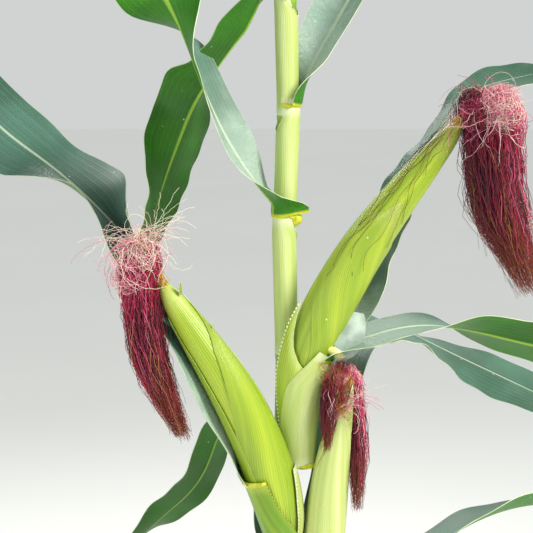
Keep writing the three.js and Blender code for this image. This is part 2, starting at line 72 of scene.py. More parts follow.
# %% Camera
CAMERA_AIM = Vector((-0.0184, 0, 1.17))
CAMERA_DISTANCE = 1.5
CAMERA_DROP = math.radians(8)
look = Vector((0, math.cos(CAMERA_DROP), -math.sin(CAMERA_DROP)))
bpy.ops.object.camera_add(location=CAMERA_AIM - CAMERA_DISTANCE * look,
                          rotation=(math.pi / 2 - CAMERA_DROP, 0, 0))
camera = bpy.context.object
camera.data.sensor_width = 36
camera.data.lens = 96.49
bpy.context.scene.camera = camera
bpy.context.scene.view_settings.view_transform = "Standard"
print("the camera is", round(camera.location.z, 3), "m up")

# %% Lamps and sky
# Each lamp's name, place, width in metres, watts and colour
LAMPS = [
    ("key_lamp", (1.9, -1.3, 2.9), 0.9, 105, (1, 0.97, 0.9)),
    ("fill_lamp", (-2.3, -2.0, 1.5), 2.4, 24, (0.92, 0.97, 1)),
    ("back_lamp", (-0.6, 2.2, 2.8), 1.6, 45, (1, 0.98, 0.94)),
]
LAMP_AIM = Vector((0, 0, 1.2))
for name, place, size, watts, colour in LAMPS:
    bpy.ops.object.light_add(type="AREA", location=place)
    lamp = bpy.context.object
    lamp.name = name
    lamp.rotation_euler = (LAMP_AIM - lamp.location).to_track_quat("-Z", "Y").to_euler()
    lamp.data.shape = "DISK"
    lamp.data.size = size
    lamp.data.energy = watts
    lamp.data.color = colour
sky = bpy.data.worlds.new("sky")
sky.use_nodes = True
sky.node_tree.nodes["Background"].inputs["Color"].default_value = (0.86, 0.88, 0.87, 1)
sky.node_tree.nodes["Background"].inputs["Strength"].default_value = 0.74
bpy.context.scene.world = sky
print(len(LAMPS), "lamps")

# %% [markdown]
# ## Helpers for finishes
#
# Leaf, sheath and husk all show the same few effects: long fine streaks, raised parallel veins,
# a midrib, a pale margin and dust. Each effect is a shader node group, made once, that gives a
# mask. A material then places the groups it needs and mixes its own colours by those masks.

# %% Node helpers
def tint(code):
    """A colour from its six screen digits, as the linear numbers that a shader takes"""
    parts = [int(code[i:i + 2], 16) / 255 for i in (0, 2, 4)]
    return tuple(((p + 0.055) / 1.055) ** 2.4 if p > 0.04045 else p / 12.92 for p in parts) + (1,)


def node(tree, kind, values, **options):
    """Adds a node, sets its options, and fills its inputs with numbers or with other sockets"""
    made = tree.nodes.new(kind)
    for name, value in options.items():
        setattr(made, name, value)
    for key, value in values.items():
        if isinstance(value, bpy.types.NodeSocket):
            tree.links.new(value, made.inputs[key])
        else:
            made.inputs[key].default_value = value
    return made


def calc(tree, operation, *values):
    return node(tree, "ShaderNodeMath", dict(enumerate(values)), operation=operation).outputs[0]


def total(tree, base, *parts):
    """A base value plus each mask times its share"""
    for mask, share in parts:
        base = calc(tree, "MULTIPLY_ADD", mask, share, base)
    return base


def smooth_step(tree, value, start, end):
    values = {"Value": value, "From Min": start, "From Max": end}
    return node(tree, "ShaderNodeMapRange", values, interpolation_type="SMOOTHSTEP").outputs[0]


def mix(tree, mask, first, second):
    return node(tree, "ShaderNodeMix", {0: mask, 6: first, 7: second}, data_type="RGBA").outputs[2]


def layered(tree, colour, *layers):
    """Lays colours one over the other: each with the mask that lets it through, and its share there"""
    for code, mask, share in layers:
        colour = mix(tree, calc(tree, "MULTIPLY", mask, share), colour, tint(code))
    return colour


print("helpers for nodes are ready")

# %% Shared effects
def shared(name, **inputs):
    """A new node group with these inputs. Gives the group, its inputs, and how to put out its mask."""
    group = bpy.data.node_groups.new(name, "ShaderNodeTree")
    for label, value in inputs.items():
        kind = "NodeSocketVector" if isinstance(value, tuple) else "NodeSocketFloat"
        group.interface.new_socket(label, in_out="INPUT", socket_type=kind).default_value = value
    group.interface.new_socket("Mask", in_out="OUTPUT", socket_type="NodeSocketFloat")
    result = group.nodes.new("NodeGroupOutput").inputs["Mask"]
    return group, group.nodes.new("NodeGroupInput").outputs, lambda mask: group.links.new(mask, result)


def off_middle(tree, across):
    """How far a point is from the middle of its sheet, up to a half"""
    return calc(tree, "ABSOLUTE", calc(tree, "SUBTRACT", across, 0.5))


grain, given, give = shared("grain", Vector=(0, 0, 0), Stretch=(1, 1, 1), Detail=3, From=0.35, To=0.65)
factors = {0: given["Vector"], 1: given["Stretch"]}
stretched = node(grain, "ShaderNodeVectorMath", factors, operation="MULTIPLY").outputs[0]
cloud = node(grain, "ShaderNodeTexNoise", {"Vector": stretched, "Scale": 1, "Detail": given["Detail"]})
give(smooth_step(grain, cloud.outputs["Fac"], given["From"], given["To"]))

veins, given, give = shared("veins", Across=0, Count=30, Width=0.3)
phase = calc(veins, "FRACT", calc(veins, "MULTIPLY", given["Across"], given["Count"]))
give(smooth_step(veins, off_middle(veins, phase), given["Width"], 0))

midrib, given, give = shared("midrib", Across=0, Along=0, Width=0.05)
slim = calc(midrib, "MULTIPLY", given["Width"], calc(midrib, "SUBTRACT", 1.08, given["Along"]))
give(smooth_step(midrib, calc(midrib, "DIVIDE", off_middle(midrib, given["Across"]), slim), 1, 0.35))

margin, given, give = shared("margin", Across=0, Width=0.02)
inner = calc(margin, "SUBTRACT", 0.5, given["Width"])
give(smooth_step(margin, off_middle(margin, given["Across"]), inner, 0.5))

specks, given, give = shared("specks", Vector=(0, 0, 0), Scale=60, Size=0.1)
cells = node(specks, "ShaderNodeTexVoronoi", {"Vector": given["Vector"], "Scale": given["Scale"]})
chance = node(specks, "ShaderNodeSeparateColor", {0: cells.outputs["Color"]}).outputs[0]
dot = smooth_step(specks, cells.outputs["Distance"], given["Size"], 0)
give(calc(specks, "MULTIPLY", dot, smooth_step(specks, chance, 0.82, 0.86)))
print("shared effects:", [g.name for g in bpy.data.node_groups])

# %% Material helpers
def effect(tree, group, **values):
    """Places a shared effect and gives its mask"""
    return node(tree, "ShaderNodeGroup", values, node_tree=group).outputs["Mask"]


def new_material(name, sheen=0.0, specular=0.5):
    material = bpy.data.materials.new(name)
    material.use_nodes = True
    shader = material.node_tree.nodes["Principled BSDF"]
    shader.inputs["Specular IOR Level"].default_value = specular
    shader.inputs["Sheen Weight"].default_value = sheen
    shader.inputs["Sheen Roughness"].default_value = 0.4
    return material, material.node_tree, shader


def surface(tree):
    """The two ways to say where a point is: on the plant in metres, and on the sheet from 0 to 1"""
    place = node(tree, "ShaderNodeTexCoord", {}).outputs["Object"]
    sheet = node(tree, "ShaderNodeUVMap", {}, uv_map="UVMap").outputs[0]
    parts = node(tree, "ShaderNodeSeparateXYZ", {0: sheet}).outputs
    return place, sheet, parts["X"], parts["Y"]


def finish_shader(tree, shader, colour, roughness, height, depth):
    """Feeds a colour, a roughness and a bump from a height in 0 to 1, depth in metres"""
    bump = node(tree, "ShaderNodeBump", {"Height": height, "Distance": depth, "Strength": 1})
    tree.links.new(colour, shader.inputs["Base Color"])
    tree.links.new(roughness, shader.inputs["Roughness"])
    tree.links.new(bump.outputs["Normal"], shader.inputs["Normal"])


def plain_finish(name, deep, light, stretch, rough=0.5, depth=0.0004):
    """Two tones in clouds, for margins, collars, roots and the floor"""
    material, tree, shader = new_material(name)
    cloud = effect(tree, grain, Vector=surface(tree)[0], Stretch=stretch, Detail=4, From=0.3, To=0.7)
    colour = mix(tree, cloud, tint(deep), tint(light))
    finish_shader(tree, shader, colour, total(tree, rough, (cloud, 0.12)), cloud, depth)
    return material


def flat_finishes(tones, roughness):
    """A material of one plain colour for each tone, to be dealt out face by face"""
    skins = []
    for name, code in tones.items():
        skin, _, shader = new_material(name)
        shader.inputs["Base Color"].default_value = tint(code)
        shader.inputs["Roughness"].default_value = roughness
        skins.append(skin)
    return skins


print("helpers for materials are ready")

# %% [markdown]
# ## Finishes of leaf and husk
#
# A maize blade is dark blue-green and satin above, with a whitish midrib and a pale foot that is
# partly powder and partly painted sheen.
# Below it is a fuller green with a yellow-green midrib. Its cut margin is nearly white. A husk is
# lime green with darker lengthwise streaks, and turns pale at its foot and tip.

# %% Blade finishes
def blade_finish(name, deep, light, vein, rib, powder_and_sheen, powder_and_sheen_share, sheen, specular):
    material, tree, shader = new_material(name, sheen, specular)
    place, sheet, across, along = surface(tree)
    cloud = effect(tree, grain, Vector=place, Stretch=(9, 9, 14), Detail=4)
    streak = effect(tree, grain, Vector=sheet, Stretch=(70, 2.5, 1), Detail=2, From=0.42, To=0.7)
    fine = effect(tree, veins, Across=across, Count=54, Width=0.34)
    bold = effect(tree, veins, Across=across, Count=13.5, Width=0.09)
    patch = effect(tree, grain, Vector=place, Stretch=(40, 40, 40), Detail=5, From=0.2, To=0.62)
    # The pale foot: partly powder, partly painted sheen
    foot = smooth_step(tree, total(tree, along, (patch, 0.05)), 0.27, 0.1)
    dry = smooth_step(tree, total(tree, along, (streak, 0.02)), 0.955, 1)
    colour = layered(
        tree, mix(tree, cloud, tint(deep), tint(light)), (deep, streak, 0.55),
        (vein, total(tree, 0, (fine, 0.16), (bold, 0.14)), 1), (powder_and_sheen, foot, powder_and_sheen_share),
        (rib, effect(tree, midrib, Across=across, Along=along, Width=0.05), 0.72),
        ("cddcae", effect(tree, margin, Across=across, Width=0.01), 0.55),
        ("c9cf2e", smooth_step(tree, along, 0.006, 0.002), 1), ("a3894a", dry, 0.8),
        ("f0f3ea", effect(tree, specks, Vector=place, Scale=95, Size=0.14), 0.85))
    wrinkle = effect(tree, grain, Vector=sheet, Stretch=(14, 150, 1), Detail=2, From=0.3, To=0.7)
    height = total(tree, 0, (fine, 0.4), (bold, 0.4), (wrinkle, calc(tree, "MULTIPLY", foot, 0.8)))
    finish_shader(tree, shader, colour, total(tree, 0.36, (cloud, 0.14)), height, 0.0007)
    return material


# Deep and light tone, vein, midrib, the foot's tone (powder with painted sheen above, green below)
# and its share, sheen, and specular level
BLADES = {
    "leaf_upper": ("27543c", "44745e", "9dc0ac", "d5e3c6", "a9bfae", 0.4, 0.1, 0.5),
    # Paler grey-blue tones and a whiter foot than leaf_upper: powder with painted sheen
    "leaf_powder_and_sheen": ("2a5a42", "4b7b67", "a9c8b6", "d5e3c6", "b9cdbf", 0.76, 0.1, 0.5),
    "leaf_under": ("1d5c0c", "348018", "86b545", "a9d043", "3f8a1c", 0.7, 0.0, 0.3),
}
leaf_upper, leaf_powder_and_sheen, leaf_under = (blade_finish(name, *looks) for name, looks in BLADES.items())
print("blade finishes:", list(BLADES))

# %% Husk and sheath finishes
def husk_finish(name, deep, light, pale):
    material, tree, shader = new_material(name, specular=0.6)
    place, sheet, across, along = surface(tree)
    broad = effect(tree, grain, Vector=sheet, Stretch=(5, 0.6, 1), Detail=2, From=0.3, To=0.72)
    thin = effect(tree, grain, Vector=sheet, Stretch=(95, 0.9, 1), Detail=2, From=0.38, To=0.74)
    fine = effect(tree, veins, Across=across, Count=46, Width=0.3)
    ends = calc(tree, "MAXIMUM", smooth_step(tree, along, 0.12, 0), smooth_step(tree, along, 0.9, 1))
    dust = effect(tree, specks, Vector=place, Scale=70, Size=0.1)
    colour = layered(tree, mix(tree, broad, tint(deep), tint(light)), (deep, thin, 0.34),
                     (pale, fine, 0.16), (pale, ends, 0.45), ("f3f5df", dust, 1))
    height = total(tree, 0, (fine, 0.5), (thin, 0.3))
    finish_shader(tree, shader, colour, total(tree, 0.3, (thin, 0.14)), height, 0.00035)
    return material


husk_skin = husk_finish("husk_skin", "7f9f0f", "b3c728", "e3ea8a")
husk_pale = husk_finish("husk_pale", "b0c458", "dce39a", "f6f7da")
sheath_bright = husk_finish("sheath_bright", "94b021", "bccd3e", "eaf0aa")
sheath_deep = husk_finish("sheath_deep", "568c02", "96b414", "d6dc58")
sheath_skin = husk_finish("sheath_skin", "abc156", "d6e096", "f7f8de")
lobe_skin = plain_finish("lobe_skin", "7f9488", "b2c1b4", (60, 60, 60))
leaf_rim = plain_finish("leaf_rim", "a3b982", "d6e1bd", (60, 60, 60))
collar_skin = plain_finish("collar_skin", "aab512", "e3e136", (160, 160, 60), 0.36, 0.0008)
wedge_skin = plain_finish("wedge_skin", "d3d858", "f4f3c0", (110, 110, 110), 0.4)
ligule_skin = plain_finish("ligule_skin", "c9cf8a", "f1eec6", (150, 150, 60))
husk_edge = plain_finish("husk_edge", "a3c43c", "cfdf80", (120, 120, 120))
husk_rim = plain_finish("husk_rim", "d2dca0", "eff2d4", (120, 120, 120))
husk_brown = plain_finish("husk_brown", "6b5228", "a88a4c", (200, 200, 90))
print("husk finishes:", husk_skin.name, sheath_skin.name)

# %% Cane finish
cane_skin, tree, shader = new_material("cane_skin", sheen=0.05, specular=0.55)
place = surface(tree)[0]
streak = effect(tree, grain, Vector=place, Stretch=(520, 520, 9), Detail=3, From=0.3, To=0.7)
broad = effect(tree, grain, Vector=place, Stretch=(110, 110, 3), Detail=2)
band = node(tree, "ShaderNodeAttribute", {}, attribute_name="band").outputs["Fac"]
colour = layered(tree, mix(tree, broad, tint("477f12"), tint("6ea124")),
                 ("92b83c", streak, 0.35), ("a9bd45", band, 0.7))
finish_shader(tree, shader, colour, total(tree, 0.32, (streak, 0.12)), streak, 0.0003)
root_skin = plain_finish("root_skin", "6f5a35", "a4a456", (70, 70, 24), 0.55, 0.001)
print("cane finishes:", cane_skin.name, root_skin.name)

# %% Floor
bpy.ops.mesh.primitive_plane_add(size=60, location=(0, 0, 0))
floor = bpy.context.object
floor.name = "floor"
floor.data.materials.append(plain_finish("floor_paint", "f7f8f5", "fafaf8", (0.6, 0.6, 0.6), 0.9))
floor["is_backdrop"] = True
print("the floor is", floor.dimensions.x, "m across")

# %% [markdown]
# ## Helpers for sheets
#
# Every blade, sheath and husk is one thin sheet that bends and twists by a rule. By hand it would
# be a grid, dragged into place row by row. Here the grid is added as a primitive and its points
# are laid by the rule, which keeps the rows even, and then Solidify gives the sheet its thickness.

# %% Small sums
MM = 0.001
BLADE_WALL, SHEATH_WALL, HUSK_WALL = 0.7, 0.8, 0.4


def ease(x):
    x = np.clip(x, 0, 1)
    return x * x * (3 - 2 * x)


def lerp(a, b, t):
    return a + (b - a) * t


def unit(rows):
    return rows / np.linalg.norm(rows, axis=-1, keepdims=True)


def outward(angle):
    """Level directions, at angles from +X"""
    return np.stack([np.cos(angle), np.sin(angle), 0 * angle], -1)


def turned(vectors, axes, angles):
    """Vectors turned about unit axes at right angles to them"""
    return vectors * np.cos(angles)[:, None] + np.cross(axes, vectors) * np.sin(angles)[:, None]


def rows_at(s, shares, rows):
    """Rows of three numbers, read between the shares where they are known"""
    return np.stack([np.interp(s, shares, column) for column in rows.T], -1)


def table(keys, s):
    """Values at s from pairs of a share and a value, joined by straight lines"""
    return np.interp(s, *zip(*keys))


def eased(keys, s):
    """As table, but level at every pair"""
    shares, values = np.array(keys, float).T
    i = np.clip(np.searchsorted(shares, s, side="right") - 1, 0, len(shares) - 2)
    return lerp(values[i], values[i + 1], ease((s - shares[i]) / (shares[i + 1] - shares[i])))


def softened(keys, s, reach=0.03):
    """As table, but with its corners rounded off over a reach to either side"""
    return sum(table(keys, s + reach * k) for k in (-1, -0.5, 0, 0.5, 1)) / 5


def ruled(rule):
    """Lets a rule(u, v, ...) be called with its other values first. What comes back takes u and v."""
    return lambda *values: lambda u, v: rule(u, v, *values)


print("half way up a step of 0 to 1 is", ease(0.5))

# %% Sheet helpers
def deselect():
    if bpy.context.object and bpy.context.object.mode != "OBJECT":
        bpy.ops.object.mode_set(mode="OBJECT")
    bpy.ops.object.select_all(action="DESELECT")


def lay_sheet(name, across, along, rule, spacing=None):
    """A grid of across by along faces. rule(u, v) gives its points, spacing(u) shifts its columns."""
    deselect()
    bpy.ops.mesh.primitive_grid_add(x_subdivisions=across, y_subdivisions=along, size=1)
    sheet = bpy.context.object
    sheet.name = sheet.data.name = name
    mesh = sheet.data
    flat = np.zeros(3 * len(mesh.vertices))
    mesh.vertices.foreach_get("co", flat)
    u, v = np.clip(flat.reshape(-1, 3)[:, :2].T + 0.5, 0, 1)
    if spacing:
        u = spacing(u)
    mesh.vertices.foreach_set("co", (rule(u, v) * MM).ravel())
    corners = np.zeros(len(mesh.loops), int)
    mesh.loops.foreach_get("vertex_index", corners)
    mesh.uv_layers[0].name = "UVMap"
    mesh.uv_layers[0].data.foreach_set("uv", np.stack([u, v], 1)[corners].ravel())
    mesh.update()
    return sheet


def walled(name, across, along, rule, thickness, skins, spacing=None):
    """A sheet with a wall, and skins for its face, its back and its rim"""
    sheet = lay_sheet(name, across, along, rule, spacing)
    for skin in skins:
        sheet.data.materials.append(skin)
    wall = sheet.modifiers.new("wall", "SOLIDIFY")
    wall.thickness = thickness * MM
    wall.offset = -1
    wall.material_offset = 1 if len(skins) > 1 else 0
    wall.material_offset_rim = len(skins) - 1
    bpy.ops.object.modifier_apply(modifier=wall.name)
    bpy.ops.object.shade_smooth_by_angle(angle=math.radians(50))
    return sheet


def rolled(name, across, along, rule, skin):
    """A sheet rolled into a closed body, whose points are merged where they meet"""
    sheet = lay_sheet(name, across, along, rule)
    bpy.ops.object.mode_set(mode="EDIT")
    bpy.ops.mesh.select_all(action="SELECT")
    bpy.ops.mesh.remove_doubles(threshold=0.00005)
    bpy.ops.mesh.normals_make_consistent(inside=False)
    bpy.ops.object.mode_set(mode="OBJECT")
    sheet.data.materials.append(skin)
    bpy.ops.object.shade_smooth()
    return sheet


print("helpers for sheets are ready")

# %% Join and seat
def join(pieces, name):
    """Joins finished pieces into one mesh"""
    deselect()
    for piece in pieces:
        piece.select_set(True)
    bpy.context.view_layer.objects.active = pieces[0]
    if len(pieces) > 1:
        bpy.ops.object.join()
    joined = bpy.context.object
    joined.name = joined.data.name = name
    return joined


def seat(piece, slot, *nodes):
    """Fixes a finished piece to the plant, in place of the solids it stands for"""
    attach(piece, "root")
    if nodes:
        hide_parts(*nodes)
    return piece


def tubed(curve, radius, roundness):
    """Turns a curve into a tube mesh with closed ends"""
    curve.data.bevel_depth = radius * MM
    curve.data.bevel_resolution = roundness
    curve.data.use_fill_caps = True
    bpy.ops.object.convert(target="MESH")
    return bpy.context.object


print("pieces can be joined and seated")

# %% [markdown]
# ## The leaves in numbers
#
# One leaf is a sheath, a collar and a blade. A few numbers say how long and wide they are, and
# how the blade climbs, heads and rolls on its way out. They are the numbers of the solids.

# %% Leaf table
LEAF_HABITS = dict(
    folds=((0, 48), (0.35, 12)),  # how far the blade is folded up on its midrib, in degrees
    bulge=0, side=1,              # mm more on one side near the foot, and which side that is
    clasp=128, hold=62,           # how far the foot clasps the cane, in degrees, and on how many mm
    flare=4, lift=2,              # how far the margins stand off and rise at the foot
    collar_span=128, wedge=3, wedge_height=8, ligule=4.5)


def keyed(keys):
    """Pairs of a share and a value, or plain values that are spread evenly from 0 to 1"""
    return keys if np.ndim(keys) == 2 else list(zip(np.linspace(0, 1, len(keys)), keys))


def new_leaf(collar, sheath, length, width, slopes, bearings, rolls, **habits):
    return dict(LEAF_HABITS, collar=collar, sheath=sheath, length=length, width=width, slopes=slopes,
                bearings=keyed(bearings), rolls=keyed(rolls), **habits)


# Height of the collar, length of the sheath, length and width of the blade, then its angles along
# it in degrees: slopes, bearings and rolls, and what differs from the common habits
LEAF_ROWS = [
    (178, 84, 430, 52, ((0, 52), (0.95, -68)), (8, 22), (0, 18, 30), {}),
    (278, 96, 560, 64, ((0, 58), (0.95, -72)), (172, 188), (0, -16, -30), {}),
    (384, 106, 680, 74, ((0, 62), (1, -74)), (-9, -23), (0, 20, 36), {}),
    (494, 114, 760, 82, ((0.05, 64), (1, -70)), (188, 206), (0, 16, 30), {}),
    (608, 118, 800, 88, ((0.1, 64), (1, -72)), (7, 29), (0, -20, -30), {}),
    (726, 122, 566, 64, ((0, 74), (0.4, 72), (0.58, -67), (0.75, -42), (1, -53)), (110, 136, 171),
     ((0, 16), (0.5, 10), (0.75, 33), (1, -23)), dict(folds=((0, 48), (0.4, 20), (0.7, 5)))),
    (842, 127, 720, 92, ((0, 79), (0.2, 86), (0.42, 2), (0.6, -26), (1, -27)),
     ((0, 84), (0.3, 68), (0.6, 38), (1, 1)), ((0, -50), (0.25, -3), (0.5, 20), (1, 65)),
     dict(folds=((0, 48), (0.3, 22), (0.6, -10)), bulge=-24)),
    (956, 124, 820, 106, ((0, 78.2), (0.27, 44.3), (0.42, 35.8), (0.58, 29.1), (0.74, 48.7), (1, -10)),
     ((0, 157.8), (0.32, 136.8), (0.58, 151.2), (1, 167.9)),
     ((0, -30.4), (0.11, -61), (0.33, -61.4), (0.5, -6.1), (0.69, -62.9), (1, -88.8)),
     dict(folds=((0, 46.9), (0.21, 75.8), (0.37, 72.5), (0.58, -3)), bulge=27)),
    (1087, 136, 690, 82, ((0, 26.9), (0.25, -13.9), (0.5, -8), (0.75, -40), (1, -74)), (4.2, -4.3, 12),
     ((0, 21), (0.12, 13), (0.28, -36), (0.45, -87), (1, -60)),
     dict(folds=((0, 0), (0.3, 11), (0.6, 12)))),
    (1223, 147, 850, 88, ((0, 47.2), (0.22, 69.6), (0.5, 16.8), (1, -24)),
     ((0, 206), (0.3, 185.4), (1, 174)),
     ((0, 1), (0.1, -44), (0.22, -17), (0.36, 105), (0.5, 100), (1, 30)),
     dict(folds=((0, 20), (0.2, 18), (0.35, 10)), hold=28, flare=15, lift=6, wedge=7, wedge_height=12,
          collar_span=146)),
    (1337, 134, 820, 84, ((0.15, 60), (1, -42)), (8, 10), (58, 6, 0),
     dict(wedge=0.4, wedge_height=1, clasp=84, ligule=8)),
    (1453, 126, 370, 84, ((0, -38), (0.28, -53), (0.5, -67.5), (1, -81)),
     ((0, 166), (0.4, 166), (1, 180)), ((0, 20), (0.28, -8), (0.46, 58), (0.78, 13), (1, 6)),
     dict(folds=((0, 44), (0.39, 42), (0.72, -11)))),
    (1566, 118, 680, 84, ((0.15, 66), (1, -50)), (-8, -24), (0, -16, -24), {}),
    (1672, 110, 600, 78, ((0.15, 68), (1, -46)), (190, 204), (0, 14, 26), {}),
    (1776, 106, 500, 70, ((0.2, 70), (1, -38)), (12, 26), (0, -10, -20), {}),
    (1872, 100, 400, 58, ((0.2, 72), (1, -26)), (172, 160), (0, 10, 20), {}),
]
LEAVES = {f"leaf_{i + 1:02}": new_leaf(*row, **habits) for i, (*row, habits) in enumerate(LEAF_ROWS)}
print(len(LEAVES), "leaves")

# %% [markdown]
# ## The cane
#
# The cane is a tapering rod with a swollen node at each leaf, and it steps a little from side to
# side between nodes. It could be turned with a screw or lofted from curves. Here a circle is
# extruded ring by ring, because each ring then gets its own size and place, as the nodes need.

# %% The cane's line
STALK_TOP = 1985
CANE_SLIM = 1.3
STALK_TAPER = ((0, 700, 1000, 1450, STALK_TOP), (17, 14.2, 12.9, 11.8, 4.4))
BOW, BOW_TOP, LEAN, ZIGZAG = 5, 1080, 8, 1.6
NODES = [0] + [leaf["collar"] - leaf["sheath"] for leaf in LEAVES.values()] + [STALK_TOP]
# The stalk steps left and right from node to node, and is straight at its two ends
STEPS = [0] + [-1 if i % 2 else 1 for i in range(1, len(NODES) - 1)] + [0]


def stalk_centre(height):
    """Middle of the stalk at a height: a slow bow, a lean and the small zigzag between nodes"""
    height = np.asarray(height, float)
    x = BOW * np.sin(np.pi * np.minimum(height, BOW_TOP) / BOW_TOP)
    x = x + LEAN * (height / STALK_TOP) ** 3 + ZIGZAG * np.interp(height, NODES, STEPS)
    return np.stack([x, 0 * height, height], -1)


def stalk_radius(height):
    """The bare cane is a little slimmer than its solid, which stands for cane and sheaths together"""
    return np.interp(height, *STALK_TAPER) - CANE_SLIM


def round_cane(level, angle, off, height):
    """Points around the cane as it is at a level: angles, mm off its skin, and their own heights"""
    points = stalk_centre(level) + outward(angle) * (stalk_radius(level) + off)[:, None]
    points[:, 2] = height
    return points


print("the cane has", len(NODES) - 2, "nodes")

# %% Cane
# Rise above the node and swelling there, both in mm
NODE_PROFILE = ((-16, 0), (-7, 0.2), (-3, 0.7), (0, 1.1), (2.5, 1.0), (5, 0.3), (9, 0.4), (15, 0.1))
rings = [(n + rise, swell) for n in NODES[1:-1] for rise, swell in NODE_PROFILE] + [(STALK_TOP, 0)]
width, centre = stalk_radius(0), stalk_centre(0)
deselect()
bpy.ops.mesh.primitive_circle_add(vertices=36, radius=width * MM, fill_type="NGON")
cane = bpy.context.object
bpy.ops.object.mode_set(mode="EDIT")
bpy.ops.mesh.select_all(action="SELECT")
for height, swell in rings:
    place = stalk_centre(height)
    wider = stalk_radius(height) + swell
    bpy.ops.mesh.extrude_region_move(TRANSFORM_OT_translate={"value": Vector((place - centre) * MM)})
    bpy.ops.transform.resize(value=(wider / width,) * 2 + (1,), center_override=Vector(place * MM))
    width, centre = wider, place
bpy.ops.mesh.select_all(action="SELECT")
bpy.ops.mesh.normals_make_consistent(inside=False)
bpy.ops.object.mode_set(mode="OBJECT")
bpy.ops.object.shade_smooth_by_angle(angle=math.radians(60))
print("the cane has", len(rings) + 1, "rings")

# %% [markdown]
# The colour of the cane changes close to a node, where the skin is pale and waxy. A point
# attribute holds how close each point is, so the finish can follow the nodes exactly.

# %% Node bands on the cane
BAND_REACH = 6
flat = np.zeros(3 * len(cane.data.vertices))
cane.data.vertices.foreach_get("co", flat)
near = np.min(np.abs(flat[2::3, None] / MM - np.array(NODES[1:-1])[None]), axis=1)
band = cane.data.attributes.new("band", "FLOAT", "POINT")
band.data.foreach_set("value", np.exp(-(near / BAND_REACH) ** 2).astype(np.float32))
cane.data.materials.append(cane_skin)
print(int((near < BAND_REACH).sum()), "points lie on node bands")

# %% [markdown]
# ## Brace roots
#
# Two whorls of thick roots spring from the lowest nodes and prop the cane up. Each is a bowed
# curve with a round section that thins towards the ground. All are cut flat at ground level,
# where the soil would take over, with one bisect that also fills the cuts.

# %% Brace roots
# Roots in a whorl, height they leave at, how far they reach, radius, and first bearing
WHORLS = [(9, 34, 46, 4.2, 10), (7, 66, 68, 4.6, 30)]
roots = []
for count, height, reach, radius, first_bearing in WHORLS:
    for i in range(count):
        out = outward(math.radians(first_bearing + 360 * i / count))
        start = np.array([0, 0, height])
        knee = out * reach * 0.72 + [0, 0, height * 0.86]
        foot = out * reach + [0, 0, -20]
        deselect()
        bpy.ops.curve.primitive_bezier_curve_add()
        root = bpy.context.object
        root.data.resolution_u = 12
        first, last = root.data.splines[0].bezier_points
        for point, spot, before, after, size in (
            (first, start, start - out, lerp(start, knee, 2 / 3), 1),
            (last, foot, lerp(foot, knee, 2 / 3), foot - [0, 0, 5], 0.75),
        ):
            point.handle_left_type = point.handle_right_type = "FREE"
            point.co, point.radius = Vector(spot * MM), size
            point.handle_left, point.handle_right = Vector(before * MM), Vector(after * MM)
        roots.append(tubed(root, radius, 3))
brace_roots = join(roots, "brace_roots")
bpy.ops.object.transform_apply(location=True, rotation=True, scale=True)
bpy.ops.object.mode_set(mode="EDIT")
bpy.ops.mesh.select_all(action="SELECT")
bpy.ops.mesh.bisect(plane_co=(0, 0, 0), plane_no=(0, 0, 1), clear_inner=True, use_fill=True)
bpy.ops.object.mode_set(mode="OBJECT")
bpy.ops.object.shade_smooth_by_angle(angle=math.radians(60))
brace_roots.data.materials.clear()
brace_roots.data.materials.append(root_skin)
seat(brace_roots, "stalk")
cane.name = cane.data.name = "cane"
seat(cane, "stalk", "stalk")
print(len(roots), "brace roots")

# %% [markdown]
# ## The ears' centre lines
#
# Each husked ear follows a curved centre line, and its girth swells and then closes to a blunt
# tip. The sheaths, the silk and four of the blades all start from these lines, so they come first.

# %% Centre lines
def centre_line(points):
    """A smooth line through four points: shares from 0 to 1, places and directions"""
    p = np.array(points, float)
    p = np.vstack([2 * p[0] - p[1], p, 2 * p[-1] - p[-2]])
    knots = np.sqrt(np.linalg.norm(np.diff(p, axis=0), axis=1))
    share = np.linspace(0, 1, 241)
    span = np.minimum((share * 3).astype(int), 2)
    t = (share * 3 - span)[:, None]
    a, b, c, d = (p[span + k] for k in range(4))
    ka, kb, kc = (knots[span + k][:, None] for k in range(3))
    leave = ((b - a) / ka - (c - a) / (ka + kb) + (c - b) / kb) * kb
    arrive = ((c - b) / kb - (d - b) / (kb + kc) + (d - c) / kc) * kb
    places = b + leave * t + (3 * (c - b) - 2 * leave - arrive) * t ** 2
    places = places + (2 * (b - c) + leave + arrive) * t ** 3
    return share, places, unit(np.gradient(places, axis=0))


def at(line, s):
    """Place and direction on a centre line at shares s"""
    share, places, directions = line
    return rows_at(s, share, places), unit(rows_at(s, share, directions))


# Radii at the neck, the middle and the tip, the share where the ear is fullest, and its line
EAR_ROWS = {
    "ear_upper": (9, 25, 9, 0.52, [(20, -17, 958), (22, -26, 1070), (70, -30, 1176), (181, -30, 1326)]),
    "ear_left": (9, 26, 9, 0.55, [(-2, -24, 838), (-3, -31, 908), (-40, -38, 1019), (-127, -42, 1161)]),
    "ear_lower": (9, 21, 5, 0.36, [(21, -15, 722), (38, -20, 830), (50, -32, 960), (67, -44, 1056)]),
}
EARS = {name: dict(neck=neck, radius=radius, tip=tip, swell=swell, line=centre_line(points))
        for name, (neck, radius, tip, swell, points) in EAR_ROWS.items()}


def ear_radius(ear, s):
    s = np.asarray(s, float)
    rise = np.sin(np.pi / 2 * np.minimum(s / ear["swell"], 1)) ** 1.6
    close = 1 - np.cos(np.pi / 2 * np.maximum((s - ear["swell"]) / (1 - ear["swell"]), 0) ** 1.25)
    below, above = lerp(ear["neck"], ear["radius"], rise), lerp(ear["radius"], ear["tip"], close)
    return np.where(s < ear["swell"], below, above)


def round_ear(ear, s, angle, off):
    """Points around an ear: shares s along it, angles from its right side, and off mm from its skin"""
    places, tangents = at(ear["line"], s)
    across = unit(np.array([1.0, 0, 0]) - tangents * tangents[:, :1])
    return places + turned(across, tangents, angle) * (ear_radius(ear, s) + off)[:, None]


print("ears of radius", [ear["radius"] for ear in EARS.values()], "mm")

